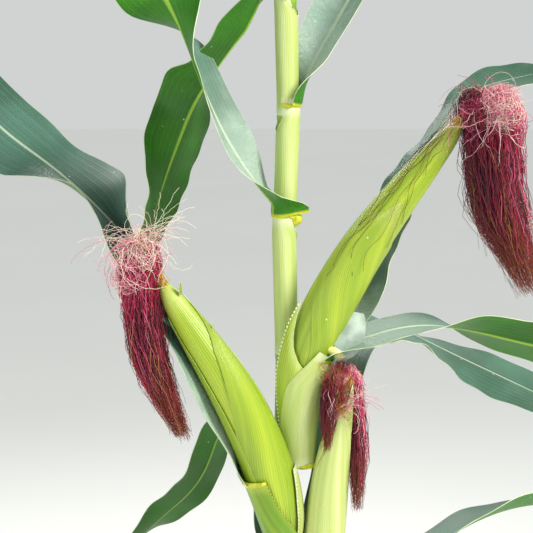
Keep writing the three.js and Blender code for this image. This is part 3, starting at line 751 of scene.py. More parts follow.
# %% [markdown]
# ## Leaf sheaths around the cane
#
# The lower part of every maize leaf is a sheath that wraps the cane from its node up to the
# collar. Its margins meet on the side away from the blade and part below the collar. It is a
# sheet laid around the cane, with a small bulge where it sits on its node.

# %% Sheaths on the cane
# The leaves whose sheaths lie around an ear: which ear, the share of it where the blade starts,
# and the share that the blade's foot clasps
EAR_LEAVES = {"leaf_07": ("ear_lower", 0.36, 0.36), "leaf_08": ("ear_left", 0.44, 0.48),
              "leaf_09": ("ear_upper", 0.37, 0.37)}
CANE_LEAVES = [leaf for name, leaf in LEAVES.items() if name not in EAR_LEAVES]
CLASP, OVERLAP = math.radians(LEAF_HABITS["clasp"]), math.radians(206)


def first_bearing_of(leaf):
    return math.radians(leaf["bearings"][0][1])


@ruled
def wrap_rule(u, v, leaf):
    q = 2 * u - 1
    way = leaf["sheath"] * v
    bulge = 0.6 * np.exp(-((way - 5) / 5) ** 2)
    off = lerp(0.7, 1.9, v) + bulge + 0.2 * q * (1 - v) - 0.2 * np.abs(q) ** 8
    angle = first_bearing_of(leaf) + q * lerp(OVERLAP, CLASP, ease((v - 0.8) / 0.2))
    level = leaf["collar"] - leaf["sheath"] + way
    return round_cane(level, angle, off, level - 11 * np.abs(q) ** 6 * ease((v - 0.5) / 0.5))


WRAP_SKINS = [sheath_skin, sheath_skin, husk_rim]
wraps = [walled("wrap", 48, 30, wrap_rule(leaf), SHEATH_WALL, WRAP_SKINS) for leaf in CANE_LEAVES]
seat(join(wraps, "sheath_wraps"), "stalk")
print(len(wraps), "sheaths wrap the cane")

# %% [markdown]
# ## Blades
#
# A blade leaves its collar steeply and arches over. It is folded along its midrib near the foot,
# opens flat further out, waves along its margins and rolls about its own line, so that it shows
# its upper side in one place and its underside in another. At the foot it clasps the cane. One
# rule gives all of this from a few numbers a leaf, and it is the rule that the solids follow.

# %% Blade rule
BLADE_STEPS = 400


def blade_line(leaf, start):
    """Shares, places, headings and the way across along a blade, as the solids have them"""
    s = np.linspace(0, 1, BLADE_STEPS + 1)

    def heading(t):
        slope = np.radians(eased(leaf["slopes"], t))
        rise = np.sin(slope)[:, None] * [0, 0, 1]
        return outward(np.radians(table(leaf["bearings"], t))) * np.cos(slope)[:, None] + rise

    steps = heading((s[1:] + s[:-1]) / 2) * leaf["length"] / BLADE_STEPS
    places = np.vstack([start, start + np.cumsum(steps, axis=0)])
    level = outward(np.radians(table(leaf["bearings"], s)) + np.pi / 2)
    return s, places, heading(s), turned(level, heading(s), np.radians(eased(leaf["rolls"], s)))


def half_width(leaf, q, v):
    """Half of a blade's width: slim at the foot, pointed at the tip, with its bulge on one side"""
    spread = (0.62 + 0.38 * ease(v / 0.3)) * np.sqrt(np.maximum(0, 1 - v ** 2.6))
    bulge = leaf["bulge"] * (q * leaf["side"] > 0) * np.exp(-((v - 0.17) / 0.085) ** 2)
    return np.maximum(0.6, leaf["width"] / 2 * spread) + bulge


@ruled
def blade_rule(u, v, leaf, start, clasp, phase):
    q = 1 - 2 * u
    shares, *along = blade_line(leaf, start)
    places, heading, across = (rows_at(v, shares, rows) for rows in along)
    half = half_width(leaf, q, v)
    fold = np.radians(eased(leaf["folds"], v))
    open_up = ease(v / 0.3)
    wave = 5 * open_up * q * q * np.sin(2 * np.pi * 2.6 * v + np.sign(q))
    wave += 1.3 * open_up * np.abs(q) ** 3 * np.sin(2 * np.pi * 11 * v + phase + 2 * np.sign(q))
    rib = -1.5 * (1 - v) * np.exp(-(q / 0.055) ** 2)
    aside = q * half * np.cos(fold)
    above = (np.sqrt(q * q + 0.012) - 0.11) * half * np.sin(fold) + wave + rib
    free = places + across * aside[:, None] + np.cross(heading, across) * above[:, None]
    if clasp is None:
        return free
    centre, axis, right, radius, span, run = clasp
    way = v * leaf["length"]
    out = turned(right + 0 * free, axis + 0 * free, first_bearing_of(leaf) + q * span)
    off = radius + 0.25 * way + leaf["flare"] * np.abs(q) ** 7
    held = centre + out * off[:, None] + np.outer(0.8 * way + leaf["lift"] * np.abs(q) ** 3, axis)
    return lerp(held, free, ease(way / run)[:, None])


def blade_spacing(u):
    """Columns closer together at the midrib than at the margins"""
    q = 2 * u - 1
    return (0.6 * q + 0.4 * q ** 3 + 1) / 2


print("the blade rule is ready")

# %% Blades on the plant
# Leaves whose blades get the finish with powder and painted sheen
POWDER_AND_SHEEN_LEAVES = ("leaf_08", "leaf_10", "leaf_11", "leaf_12")
RIGHT, UP = np.array([1.0, 0, 0]), np.array([0, 0, 1.0])


def blade_foot(name, leaf):
    """Where a blade starts, and what its foot clasps: the cane, or the sheath around an ear"""
    if name not in EAR_LEAVES:
        centre = stalk_centre(leaf["collar"])
        radius = stalk_radius(leaf["collar"]) + 2.6
        return centre, (centre, UP, RIGHT, radius, math.radians(leaf["clasp"]), leaf["hold"])
    ear_name, first, last = EAR_LEAVES[name]
    ear = EARS[ear_name]
    out = outward(first_bearing_of(leaf))
    foot = at(ear["line"], first)[0] + out * (ear_radius(ear, first) + 2.4)
    centre, axis = at(ear["line"], last)
    right = unit(RIGHT - axis * axis[0])
    return foot, (centre, axis, right, ear_radius(ear, last) + 3.6, math.radians(66), 50)


for number, (name, leaf) in enumerate(LEAVES.items()):
    rule = blade_rule(leaf, *blade_foot(name, leaf), 1.7 * number)
    skins = [leaf_powder_and_sheen if name in POWDER_AND_SHEEN_LEAVES else leaf_upper, leaf_under, leaf_rim]
    blade = walled(name, 28, 120, rule, BLADE_WALL, skins, blade_spacing)
    seat(blade, "leaf", name + "_base", name + "_tip")
print("blades:", len(LEAVES))

# %% [markdown]
# The outermost husk of the upper ear ends in a blade of its own, which stands up behind the ear.
# It follows the same rule, but clasps nothing.

# %% Husk blade
HUSK_BLADE = new_leaf(None, None, 430, 62, ((0, 48), (0.3, 63), (0.62, 52), (0.85, 12), (1, 11)),
                      (44.6, 31, 4), ((0, 50), (0.3, -5), (0.6, -3), (1, 64)),
                      folds=((0, 37), (0.35, 8)), bulge=9, side=-1)
upper = EARS["ear_upper"]
start = at(upper["line"], 0.4)[0] + [ear_radius(upper, 0.4), 8, 0]
# Its upper side takes the finish with powder and painted sheen
rule, skins = blade_rule(HUSK_BLADE, start, None, 0.6), [leaf_powder_and_sheen, leaf_under, leaf_rim]
seat(walled("husk_blade", 24, 90, rule, BLADE_WALL, skins, blade_spacing), "leaf", "husk_blade")
print("the husk blade is", HUSK_BLADE["length"], "mm long")

# %% [markdown]
# At its foot a rounded, powdery lobe turns forward beside the ear and ends in a thick yellow wedge.
# The lobe is one more sheet, and the wedge is a sphere, squashed flat.

# %% Lobe and wedge
def lobe_rule(u, v):
    """From beside the ear outward with u, and down with v"""
    wide = 31 * np.sqrt(np.clip(1 - (np.abs(v - 0.35) / 0.66) ** 2.6, 0.0004, 1))
    y = -42 + 6 * u - 5 * np.sin(np.pi * u) * v + 10 * (1 - v) ** 2
    return np.stack([50 + wide * u + 4 * (1 - v), y, 1128 - 48 * v - 4 * u * u], -1)


seat(walled("husk_lobe", 20, 30, lobe_rule, SHEATH_WALL, [lobe_skin, lobe_skin, husk_rim]), "leaf")
deselect()
bpy.ops.mesh.primitive_uv_sphere_add(segments=24, ring_count=14, radius=0.011,
                                     location=(0.052, -0.043, 1.087), rotation=(0, math.radians(28), 0))
wedge = bpy.context.object
wedge.scale = (1, 0.4, 0.42)
bpy.ops.object.transform_apply(location=True, rotation=True, scale=True)
bpy.ops.object.shade_smooth()
wedge.name = "lobe_wedge"
wedge.data.materials.append(wedge_skin)
seat(wedge, "leaf")
print("the wedge is", round(wedge.dimensions.x, 3), "m wide")

# %% [markdown]
# ## Collars and ligules
#
# Where the blade parts from its sheath there is a yellow collar, thin at the back and swollen to
# a wedge at each margin, and inside it a thin ragged skin, the ligule, that hugs the cane.

# %% Collars and ligules
rng = np.random.default_rng(7)
RAGS = 46  # points along the ragged edge of a ligule


@ruled
def collar_rule(u, v, leaf):
    q = 2 * u - 1
    fat = np.exp(-((np.abs(q) - 0.84) / 0.13) ** 2)
    tall = 3.5 + leaf["wedge_height"] * fat
    swell = 2.1 + 0.8 * np.sin(np.pi * v) + leaf["wedge"] * fat * np.sin(np.pi * v) ** 0.6
    angle = first_bearing_of(leaf) + q * math.radians(leaf["collar_span"])
    height = leaf["collar"] + 2 + leaf["lift"] * np.abs(q) ** 3 - tall * (1 - v)
    return round_cane(leaf["collar"], angle, swell, height)


@ruled
def ligule_rule(u, v, leaf, rough):
    ragged = leaf["ligule"] * (1 + 0.6 * np.interp(u, np.linspace(0, 1, RAGS), rough))
    angle = first_bearing_of(leaf) + (2 * u - 1) * (CLASP + 0.12)
    off = 1.1 + 1.2 * v * rough.mean()
    return round_cane(leaf["collar"], angle, off, leaf["collar"] + ragged * v)


collars = [walled("collar", 48, 6, collar_rule(leaf), 1.4, [collar_skin]) for leaf in CANE_LEAVES]
ligules = [walled("ligule", 90, 4, ligule_rule(leaf, rng.uniform(-1, 1, RAGS)), 0.3, [ligule_skin])
           for leaf in CANE_LEAVES]
seat(join(collars, "collars"), "stalk")
seat(join(ligules, "ligules"), "stalk")
print(len(collars), "collars and", len(ligules), "ligules")

# %% [markdown]
# ## Husks
#
# An ear is wrapped in a dozen husk leaves, each a pointed sheet that goes part of the way round
# and lies over the one before. Only the outer two or three show, and their margins make long
# oblique lines. They are sheets laid around the ear's own girth, layer on layer, over a closed core.

# %% Husk rules
@ruled
def husk_rule(u, v, ear, left, right, off, taper=0.09):
    """A husk leaf whose margins follow two tables of a share of the ear and an angle around it"""
    last = left[-1][0]
    s = lerp(left[0][0], last, v)
    low, high = np.radians(softened(left, s)), np.radians(softened(right, s))
    point = np.clip((last - s) / taper, 0, 1) ** (0.5 if taper < 0.1 else 0.85)
    angle = (low + high) / 2 + (u - 0.5) * (high - low) * lerp(0.03, 1, point)
    ribs = 0.14 * np.sin(16 * angle + 2 * v) * np.sin(np.pi * v)
    return round_ear(ear, s, angle, off + ribs + 0.12 * np.abs(2 * u - 1) ** 12)


@ruled
def spur_rule(u, v, ear, share, angle, length, width):
    """A small stray husk tip, at a share of the ear and an angle around it"""
    base = round_ear(ear, np.array([share]), np.radians([angle]), -1.0)[0]
    centre, axis = at(ear["line"], share)
    out = unit(base - centre)
    ahead = unit(out * 0.75 + axis)
    q = 2 * u - 1
    half = width / 2 * np.sqrt(np.clip(1 - v ** 1.5, 0.01, 1))
    aside = np.outer(q * half, unit(np.cross(ahead, out))) + np.outer(half * q * q / 4, out)
    return base + np.outer(v * length, ahead) + aside


@ruled
def core_rule(u, v, ear):
    close = np.sqrt(np.clip(1 - (np.maximum(v - 0.94, 0) / 0.06) ** 2, 0, 1))
    return round_ear(ear, v, 2 * np.pi * u, -0.8 - (ear_radius(ear, v) - 0.9) * (1 - close))


print("the husk rules are ready")

# %% Husked ears
# Each husk leaf's left margin, right margin, mm off the ear's skin, and share it tapers over
HUSKS = {
    "ear_upper": [
        ([(0.02, 140), (0.5, 130), (0.9, 180), (0.99, 240)],
         [(0.02, 300), (0.5, 330), (0.9, 320), (0.99, 300)], 0.4),
        ([(0.02, 265), (0.38, 268), (0.43, 262), (0.52, 228), (0.62, 186), (0.74, 190), (0.82, 262)],
         [(0.02, 470), (0.38, 450), (0.6, 420), (0.73, 352), (0.78, 318), (0.82, 290)], 0.9),
    ],
    "ear_left": [
        ([(0.02, 150), (0.5, 190), (0.75, 268), (0.9, 322), (0.97, 345)],
         [(0.02, 470), (0.5, 470), (0.9, 415), (0.97, 372)], 0.25, 0.14),
        ([(0.02, 280), (0.4, 300), (0.7, 352), (0.83, 365)],
         [(0.02, 480), (0.5, 470), (0.83, 390)], 0.5, 0.16),
        ([(0.02, 60), (0.6, 100), (0.8, 150), (0.93, 200)],
         [(0.02, 250), (0.6, 236), (0.8, 226), (0.93, 215)], 0.8),
    ],
    "ear_lower": [
        ([(0.02, 230), (0.5, 240), (0.9, 262), (1.0, 280)],
         [(0.02, 440), (0.5, 420), (0.9, 380), (1.0, 330)], 0.4),
        ([(0.02, 130), (0.5, 140), (0.8, 160), (0.94, 215)],
         [(0.02, 390), (0.5, 376), (0.8, 330), (0.94, 262)], 0.9),
    ],
}
# Share of the ear, angle, length and width of its stray husk tips
SPURS = {"ear_left": [(0.955, 332, 15, 6), (0.86, 348, 9, 4)]}
for name, leaves in HUSKS.items():
    ear = EARS[name]
    skin, edge = (husk_pale, husk_brown) if name == "ear_lower" else (husk_skin, husk_edge)
    parts = [rolled("core", 48, 60, core_rule(ear), skin)]
    skins = [skin, skin, edge]
    parts += [walled("husk", 48, 80, husk_rule(ear, *shape), HUSK_WALL, skins) for shape in leaves]
    parts += [walled("spur", 8, 12, spur_rule(ear, *spur), HUSK_WALL, skins)
              for spur in SPURS.get(name, [])]
    seat(join(parts, name + "_husks"), "husk", name)
print("husk leaves:", {name: len(leaves) for name, leaves in HUSKS.items()})

# %% [markdown]
# ## Small shapes dealt out
#
# Crimps, spikelets and anthers are one small shape each, repeated many times. Arrays of places
# and directions deal the copies out into a single mesh, which is far lighter than many objects.

# %% Helpers for dealt shapes
def smooth_mesh(name, corners, faces, skins, tones):
    """A mesh from corners in mm and lists of faces. tones picks each face's skin."""
    mesh = bpy.data.meshes.new(name)
    mesh.from_pydata((corners * MM).tolist(), [], faces)
    for skin in skins:
        mesh.materials.append(skin)
    mesh.polygons.foreach_set("material_index", tones.astype(np.int32))
    mesh.polygons.foreach_set("use_smooth", np.ones(len(faces), bool))
    mesh.update()
    piece = bpy.data.objects.new(name, mesh)
    bpy.context.scene.collection.objects.link(piece)
    return piece


def dealt(name, shape, places, ahead, sizes, tones, skins):
    """Copies of a small shape and its faces at places, with their Z axis turned ahead, as one mesh"""
    shape, faces = np.array(shape[0]), np.array(shape[1])
    side = unit(np.cross(ahead, [0.2, 0.3, 0.93]))
    frames = np.stack([side, np.cross(ahead, side), ahead], 1)
    corners = places[:, None] + np.einsum("cj,nji->nci", shape, frames) * sizes[:, None, None]
    quads = (faces[None] + np.arange(len(places))[:, None, None] * len(shape)).reshape(-1, 4)
    return smooth_mesh(name, corners.reshape(-1, 3), quads.tolist(), skins, np.repeat(tones, len(faces)))


def spindle(length, radius, sides=5):
    """The corners and faces of a pointed grain, from 0 to length along its own Z"""
    turn = 2 * np.pi * np.arange(sides) / sides
    shape = [(radius * share * math.cos(a), radius * share * math.sin(a), length * height)
             for height, share in ((0, 0.15), (0.25, 0.85), (0.6, 0.9), (1, 0.06)) for a in turn]
    faces = [(r + k, r + (k + 1) % sides, r + sides + (k + 1) % sides, r + sides + k)
             for r in range(0, 3 * sides, sides) for k in range(sides)]
    return shape, faces


print("a spindle of five sides has", len(spindle(1, 1)[1]), "faces")

# %% [markdown]
# ## Open sheaths around the ears' feet
#
# Where an ear grows, its leaf's sheath has opened and lies around the foot of the ear. The free
# margin is dry and white, and crimped like a zip: a row of small swellings along its edge. The
# left ear's sheath shows both its margins, one across the ear's front and one at its right. On
# the upper one a paler fold lies over the bright part, from an oblique line rightwards. Yellow
# bands mark the rim of the left sheath and the foot of the upper one.

# %% Sheath rules
def new_sheath(ear, left, right, rim, stand, tight=False, over=0, host=None):
    """Margins as angles around the ear, height of the rim from left to right, and how far the left
    margin stands off. A sheath that lies over a host stands off as its host does."""
    return dict(ear=EARS[ear], left=left, right=right, rim=rim, stand=stand, tight=tight, over=over,
                host=host)


@ruled
def sheath_rule(u, v, sheath):
    host = sheath["host"] or sheath
    s = lerp(0.012, softened(sheath["rim"], u), v)
    angle = np.radians(lerp(table(sheath["left"], s), table(sheath["right"], s), u))
    first, last = (np.radians(table(host[side], s)) for side in ("left", "right"))
    stand = table(host["stand"], s) * (1 - np.clip((angle - first) / (last - first), 0, 1)) ** 5
    ribs = 0.16 * np.sin(15 * angle) * (1 - np.abs(2 * u - 1) ** 4)
    off = lerp(3.5, 2.0, ease((v - 0.86) / 0.14)) if sheath["tight"] else 3.5
    return round_ear(sheath["ear"], s, angle, off + stand + ribs + sheath["over"])


@ruled
def band_rule(u, v, ear, share, tall, start, end, off):
    """A yellow band around an ear, from a start angle to an end angle"""
    s = share + tall * (v - 0.5) * (1 + 1.2 * np.sin(np.pi * u))
    return round_ear(EARS[ear], s, np.radians(lerp(start, end, u)), off + 1.3 * np.sin(np.pi * v))


def crimps(rule, across, low, high, skin, size=1.0, pitch=4.3, steps=400):
    """A row of small swellings along a margin, a pitch apart"""
    line = rule(np.full(steps, across), np.linspace(low, high, steps))
    way = np.concatenate([[0], np.cumsum(np.linalg.norm(np.diff(line, axis=0), axis=1))])
    spots = np.arange(0, way[-1], pitch)
    ahead = unit(rows_at(spots, way, np.gradient(line, axis=0)))
    ones = np.ones(len(spots))
    return dealt("crimps", spindle(3.0 * size, 1.1 * size, 6), rows_at(spots, way, line), ahead,
                 ones, 0 * ones, [skin])


def even_ends(u):
    """Columns closer together at both margins"""
    return (1 - np.cos(np.pi * u)) / 2


print("the sheath rules are ready")

# %% Ear sheaths
SHEATHS = dict(
    sheath_upper=new_sheath(
        "ear_upper", [(0, 196), (0.53, 200)], [(0, 428), (0.4, 428)],
        [(0, 0.53), (0.05, 0.46), (0.12, 0.39), (0.24, 0.345), (0.31, 0.335), (0.42, 0.36), (0.55, 0.39),
         (1, 0.38)], [(0, 9), (0.14, 8), (0.4, 6), (0.53, 5)], tight=True),
    sheath_left=new_sheath(
        "ear_left", [(0, 110), (0.44, 130)],
        [(0, 350), (0.22, 340), (0.278, 312), (0.341, 290), (0.39, 274), (0.446, 266), (0.49, 262)],
        [(0, 0.48), (1, 0.49)], [(0, 0), (1, 0)]),
    sheath_lower=new_sheath(
        "ear_lower", [(0, 212), (0.36, 216)], [(0, 420), (0.36, 420)], [(0, 0.36), (1, 0.36)],
        [(0, 1), (1, 0)]),
)
FAR_MARGIN = new_sheath(
    "ear_left", [(0, 308), (0.327, 316), (0.39, 320), (0.432, 326), (0.488, 334)],
    [(0, 372), (0.488, 378)], [(0, 0.488), (1, 0.488)], [(0, 0.4), (1, 0.4)])
PALE_FOLD = new_sheath(
    "ear_upper", [(0, 198), (0.14, 200), (0.2, 214), (0.28, 232), (0.345, 264), (0.411, 290)],
    [(0, 426), (0.4, 426)], [(0, 0.405), (0.3, 0.388), (1, 0.376)], None,
    host=SHEATHS["sheath_upper"], tight=True, over=0.9)
bands = dict(upper=band_rule("ear_upper", 0.016, 0.008, 240, 428, 5.4),
             left=band_rule("ear_left", 0.485, 0.01, 110, 262, 4.0))
rules = {name: sheath_rule(sheath) for name, sheath in SHEATHS.items()}
far = sheath_rule(FAR_MARGIN)
parts = {name: [walled(name, 56, 110, rules[name], SHEATH_WALL, [skin, skin, husk_edge], even_ends)]
         for name, skin in zip(SHEATHS, (sheath_bright, sheath_deep, husk_pale))}
parts["sheath_upper"] += [
    crimps(rules["sheath_upper"], 0.004, 0.04, 0.99, husk_rim),
    walled("fold", 40, 90, sheath_rule(PALE_FOLD), 0.6, [sheath_skin, sheath_skin, husk_rim], even_ends),
    walled("band", 40, 4, bands["upper"], 1.2, [collar_skin])]
parts["sheath_left"] += [
    crimps(rules["sheath_left"], 0.996, 0.3, 0.99, husk_brown, 0.6),
    walled("band", 40, 4, bands["left"], 1.4, [collar_skin]),
    walled("far", 12, 110, far, SHEATH_WALL, [husk_pale, sheath_bright, husk_rim]),
    crimps(far, 0.01, 0.2, 0.99, husk_rim, 0.9)]
for name, pieces in parts.items():
    seat(join(pieces, name), "husk", name)
print("ear sheaths:", len(SHEATHS))

# %% [markdown]
# ## Silk
#
# Silk is several hundred fine threads that leave the ear's tip, arch over and hang down. Hair
# particles could draw it, but they wouldn't be a mesh. Here every thread is a three-sided tube
# along a curve from arrays. Its plain colours are dealt out face by face: pale at the root, pink
# to crimson along the way, brown at the dry ends. The loose threads are a mesh of their own: curls,
# sprays that leave the tip like a fountain, and dry threads that lie back along the husk. A dark
# core, painted as the shade inside the tuft, keeps it from showing light through its middle.

# %% Silk colours
SILK_TONES = {
    "silk_root": "d9b548", "silk_cream": "f3ead2", "silk_pale": "eebfc0", "silk_pink": "d85c84",
    "silk_crimson": "c02048", "silk_wine": "7b1230", "silk_maroon": "4a0d1c", "silk_rust": "7c3120",
    "silk_straw": "a2743a",
}
silk_skins = flat_finishes(SILK_TONES, 0.5)
# The dark core's skin is painted shade for the inside of a tuft
silk_shade = plain_finish("silk_shade", "23060f", "4d0d22", (300, 300, 24), 0.7)
ROOT, CREAM, PALE, PINK, CRIMSON, WINE, MAROON, RUST, STRAW = range(9)
print("silk tones:", list(SILK_TONES))

# %% Thread helpers
def thread_mesh(name, paths, radii, tones):
    """Three-sided tubes along paths (threads, points, 3). tones gives each segment's material."""
    count, points = paths.shape[:2]
    ahead = unit(np.gradient(paths, axis=1) + 1e-9)
    side = unit(np.cross(ahead, np.array([0.3, 0.9, 0.2])))
    up = np.cross(ahead, side)
    angles = np.arange(3) * 2 * np.pi / 3
    ring = side[:, :, None] * np.cos(angles)[:, None] + up[:, :, None] * np.sin(angles)[:, None]
    corners = (paths[:, :, None] + ring * radii[:, :, None, None]).reshape(-1, 3)
    t, s, k = np.meshgrid(np.arange(count), np.arange(points - 1), np.arange(3), indexing="ij")
    base, after = (t * points + s) * 3, (k + 1) % 3
    quads = np.stack([base + k, base + after, base + 3 + after, base + 3 + k], -1).reshape(-1, 4)
    ends = np.arange(count)[:, None] * points * 3
    caps = np.concatenate([ends + [2, 1, 0], ends + (points - 1) * 3 + [0, 1, 2]])
    dealt_tones = np.concatenate([np.repeat(tones.ravel(), 3), tones[:, 0], tones[:, -1]])
    return smooth_mesh(name, corners, quads.tolist() + caps.tolist(), silk_skins, dealt_tones)


def smooth_paths(knots, points):
    """Smooth curves through knots (threads, knots, 3), each with the same number of points"""
    count = knots.shape[1]
    t = np.linspace(0, count - 1, points)
    i = np.minimum(t.astype(int), count - 2)
    f = (t - i)[None, :, None]
    before, after = 2 * knots[:, :1] - knots[:, 1:2], 2 * knots[:, -1:] - knots[:, -2:-1]
    wide = np.concatenate([before, knots, after], 1)
    a, b, c, d = (wide[:, i + k] for k in range(4))
    square, cube = 2 * a - 5 * b + 4 * c - d, 3 * b - a - 3 * c + d
    return 0.5 * (2 * b + (c - a) * f + square * f ** 2 + cube * f ** 3)


def curled(paths, size, rng):
    """Adds the crinkle of real silk, from none at the root"""
    count, points = paths.shape[:2]
    s = np.linspace(0, 1, points)[None, :, None]
    for share, slow, fast in ((1, 2, 6), (0.45, 7, 11)):
        bends = rng.uniform(slow, fast, (count, 1, 3))
        shift = rng.uniform(0, 2 * np.pi, (count, 1, 3))
        paths = paths + share * size * ease(s * 4) * np.sin(2 * np.pi * bends * s + shift)
    return paths


print("the thread helpers are ready")

# %% [markdown]
# A tuft hangs in one lobe or two, each with its threads on the outside and within them a core
# painted dark as the shade inside the tuft.

# %% Hanging lobes
# The share of the ear where its silk starts, and how much of a lobe's width its core takes
SILK_START, CORE_SHARE = 0.985, 0.66


def tuft_size(s):
    """How wide a tuft is along its line, for a head of 1"""
    return lerp(1, 0.82, ease(s / 0.7)) * lerp(1, 0.36, ease((s - 0.72) / 0.28))


@ruled
def tube_rule(u, v, radius, line):
    """The closed body inside a hanging lobe, painted dark as the shade within the tuft"""
    s = lerp(0.03, 0.86, v)
    close = np.sqrt(np.clip(1 - (1 - np.minimum(v, 1 - v) / 0.12).clip(0) ** 2, 0, 1))
    girth = CORE_SHARE * radius * tuft_size(s) * np.maximum(close, 0.01)
    return at(line, s)[0] + outward(2 * np.pi * u) * girth[:, None]


def tuft_paths(ear, radius, line, count, rng):
    """Threads from the ear's tip up and over into a hanging lobe, and which side of it each is on"""
    tip, ahead = at(ear["line"], SILK_START)
    angle = rng.uniform(0, 2 * np.pi, count)
    depth = np.sqrt(rng.uniform(0.3, 1, count))
    end = np.minimum(rng.normal(0.9, 0.1, count), 1.02)
    knots = [tip + rng.normal(0, 2.2, (count, 3))]
    head = line[1][0]
    spread = outward(angle) * (depth * radius)[:, None]
    knots.append(lerp(tip, head, 0.45) + spread * 0.35 + ahead * 6)
    knots.append(head + spread * 0.72 + np.outer(rng.normal(0, 4, count), UP) - [0, 0, 4])
    for share in (0.16, 0.34, 0.54, 0.76, 1.0):
        s = share * end
        size = tuft_size(s) * (1 + 0.1 * np.sin(5 * angle + 2 * s))
        stray = rng.normal(0, (0.07 + 0.08 * share) * radius, (count, 3))
        knots.append(at(line, s)[0] + spread * size[:, None] + stray)
    return np.stack(knots, 1), spread[:, 0] / radius


# From and to which share of the thread, how many of the threads, and the tone they take there
STRAYS = [(0.08, 0.42, 0.16, PALE), (0.55, 9, 0.5, WINE), (0.66, 9, 0.4, MAROON), (0.92, 9, 1, RUST),
          (0.7, 9, 0.04, STRAW)]


def fall_tones(side, tones, segments, rng):
    """Colours along hanging threads: by side of the tuft, with golden roots and dry ends"""
    count = len(side)
    side = side + rng.normal(0, 0.22, count)
    base = np.array(tones)[np.digitize(side, [-0.25, 0.3]), rng.integers(0, 2, count)]
    s = np.linspace(0, 1, segments)[None] + rng.normal(0, 0.03, (count, 1))
    painted = np.where(s < 0.07, ROOT, np.where(s < 0.16, PINK, base[:, None]))
    for low, high, share, tone in STRAYS:
        drawn = rng.uniform(0, 1, (count, 1)) < share if share < 1 else True
        painted = np.where((s > low) & (s < high) & drawn, tone, painted)
    return painted


print("the core takes", CORE_SHARE, "of a lobe's width")

# %% Loose threads
SPRAY_STEPS = 14


def puff_paths(tip, centre, radius, count, rng):
    """Loose curls that leave the ear's tip and wander through a ball"""
    knots = [tip + rng.normal(0, 2, (count, 3))]
    way = unit(rng.normal(0, 1, (count, 3)))
    for _ in range(6):
        way = unit(way + rng.normal(0, 0.7, (count, 3)))
        knots.append(np.array(centre) + way * radius * rng.uniform(0.6, 1.05, (count, 1)))
    return np.stack(knots, 1)


def spray_paths(crown, aim, spread, reach, droop, count, rng):
    """Long single threads that leave the crown of a tuft like a fountain and curl over"""
    way = unit(np.array(aim) + rng.normal(0, spread, (count, 3)))
    step = reach / SPRAY_STEPS * rng.uniform(0.5, 1.1, (count, 1))
    axis = unit(rng.normal(0, 1, (count, 3)))
    turn = rng.uniform(0.1, 0.55, count) * droop
    knots = [crown + rng.normal(0, 4, (count, 3))]
    for _ in range(SPRAY_STEPS):
        knots.append(knots[-1] + way * step)
        way = unit(turned(way, axis, turn) - [0, 0, 0.12 * droop])
    return np.stack(knots, 1)


def lain_paths(ear, count, rng):
    """Dry threads that lie on the husk, from the ear's tip back down its side"""
    way = np.linspace(0, 1, 9)
    s = lerp(SILK_START, rng.uniform(0.6, 0.93, (count, 1)), way)
    angle = rng.uniform(182, 260, (count, 1)) + rng.normal(0, 50, (count, 1)) * way
    angle = angle + rng.normal(0, 5, (count, 9))
    off = 1.6 + 2.5 * rng.uniform(0, 1, (count, 1)) ** 3 * way
    return round_ear(ear, s.ravel(), np.radians(angle).ravel(), off.ravel()).reshape(count, 9, 3)


print("a spray has", SPRAY_STEPS, "steps")

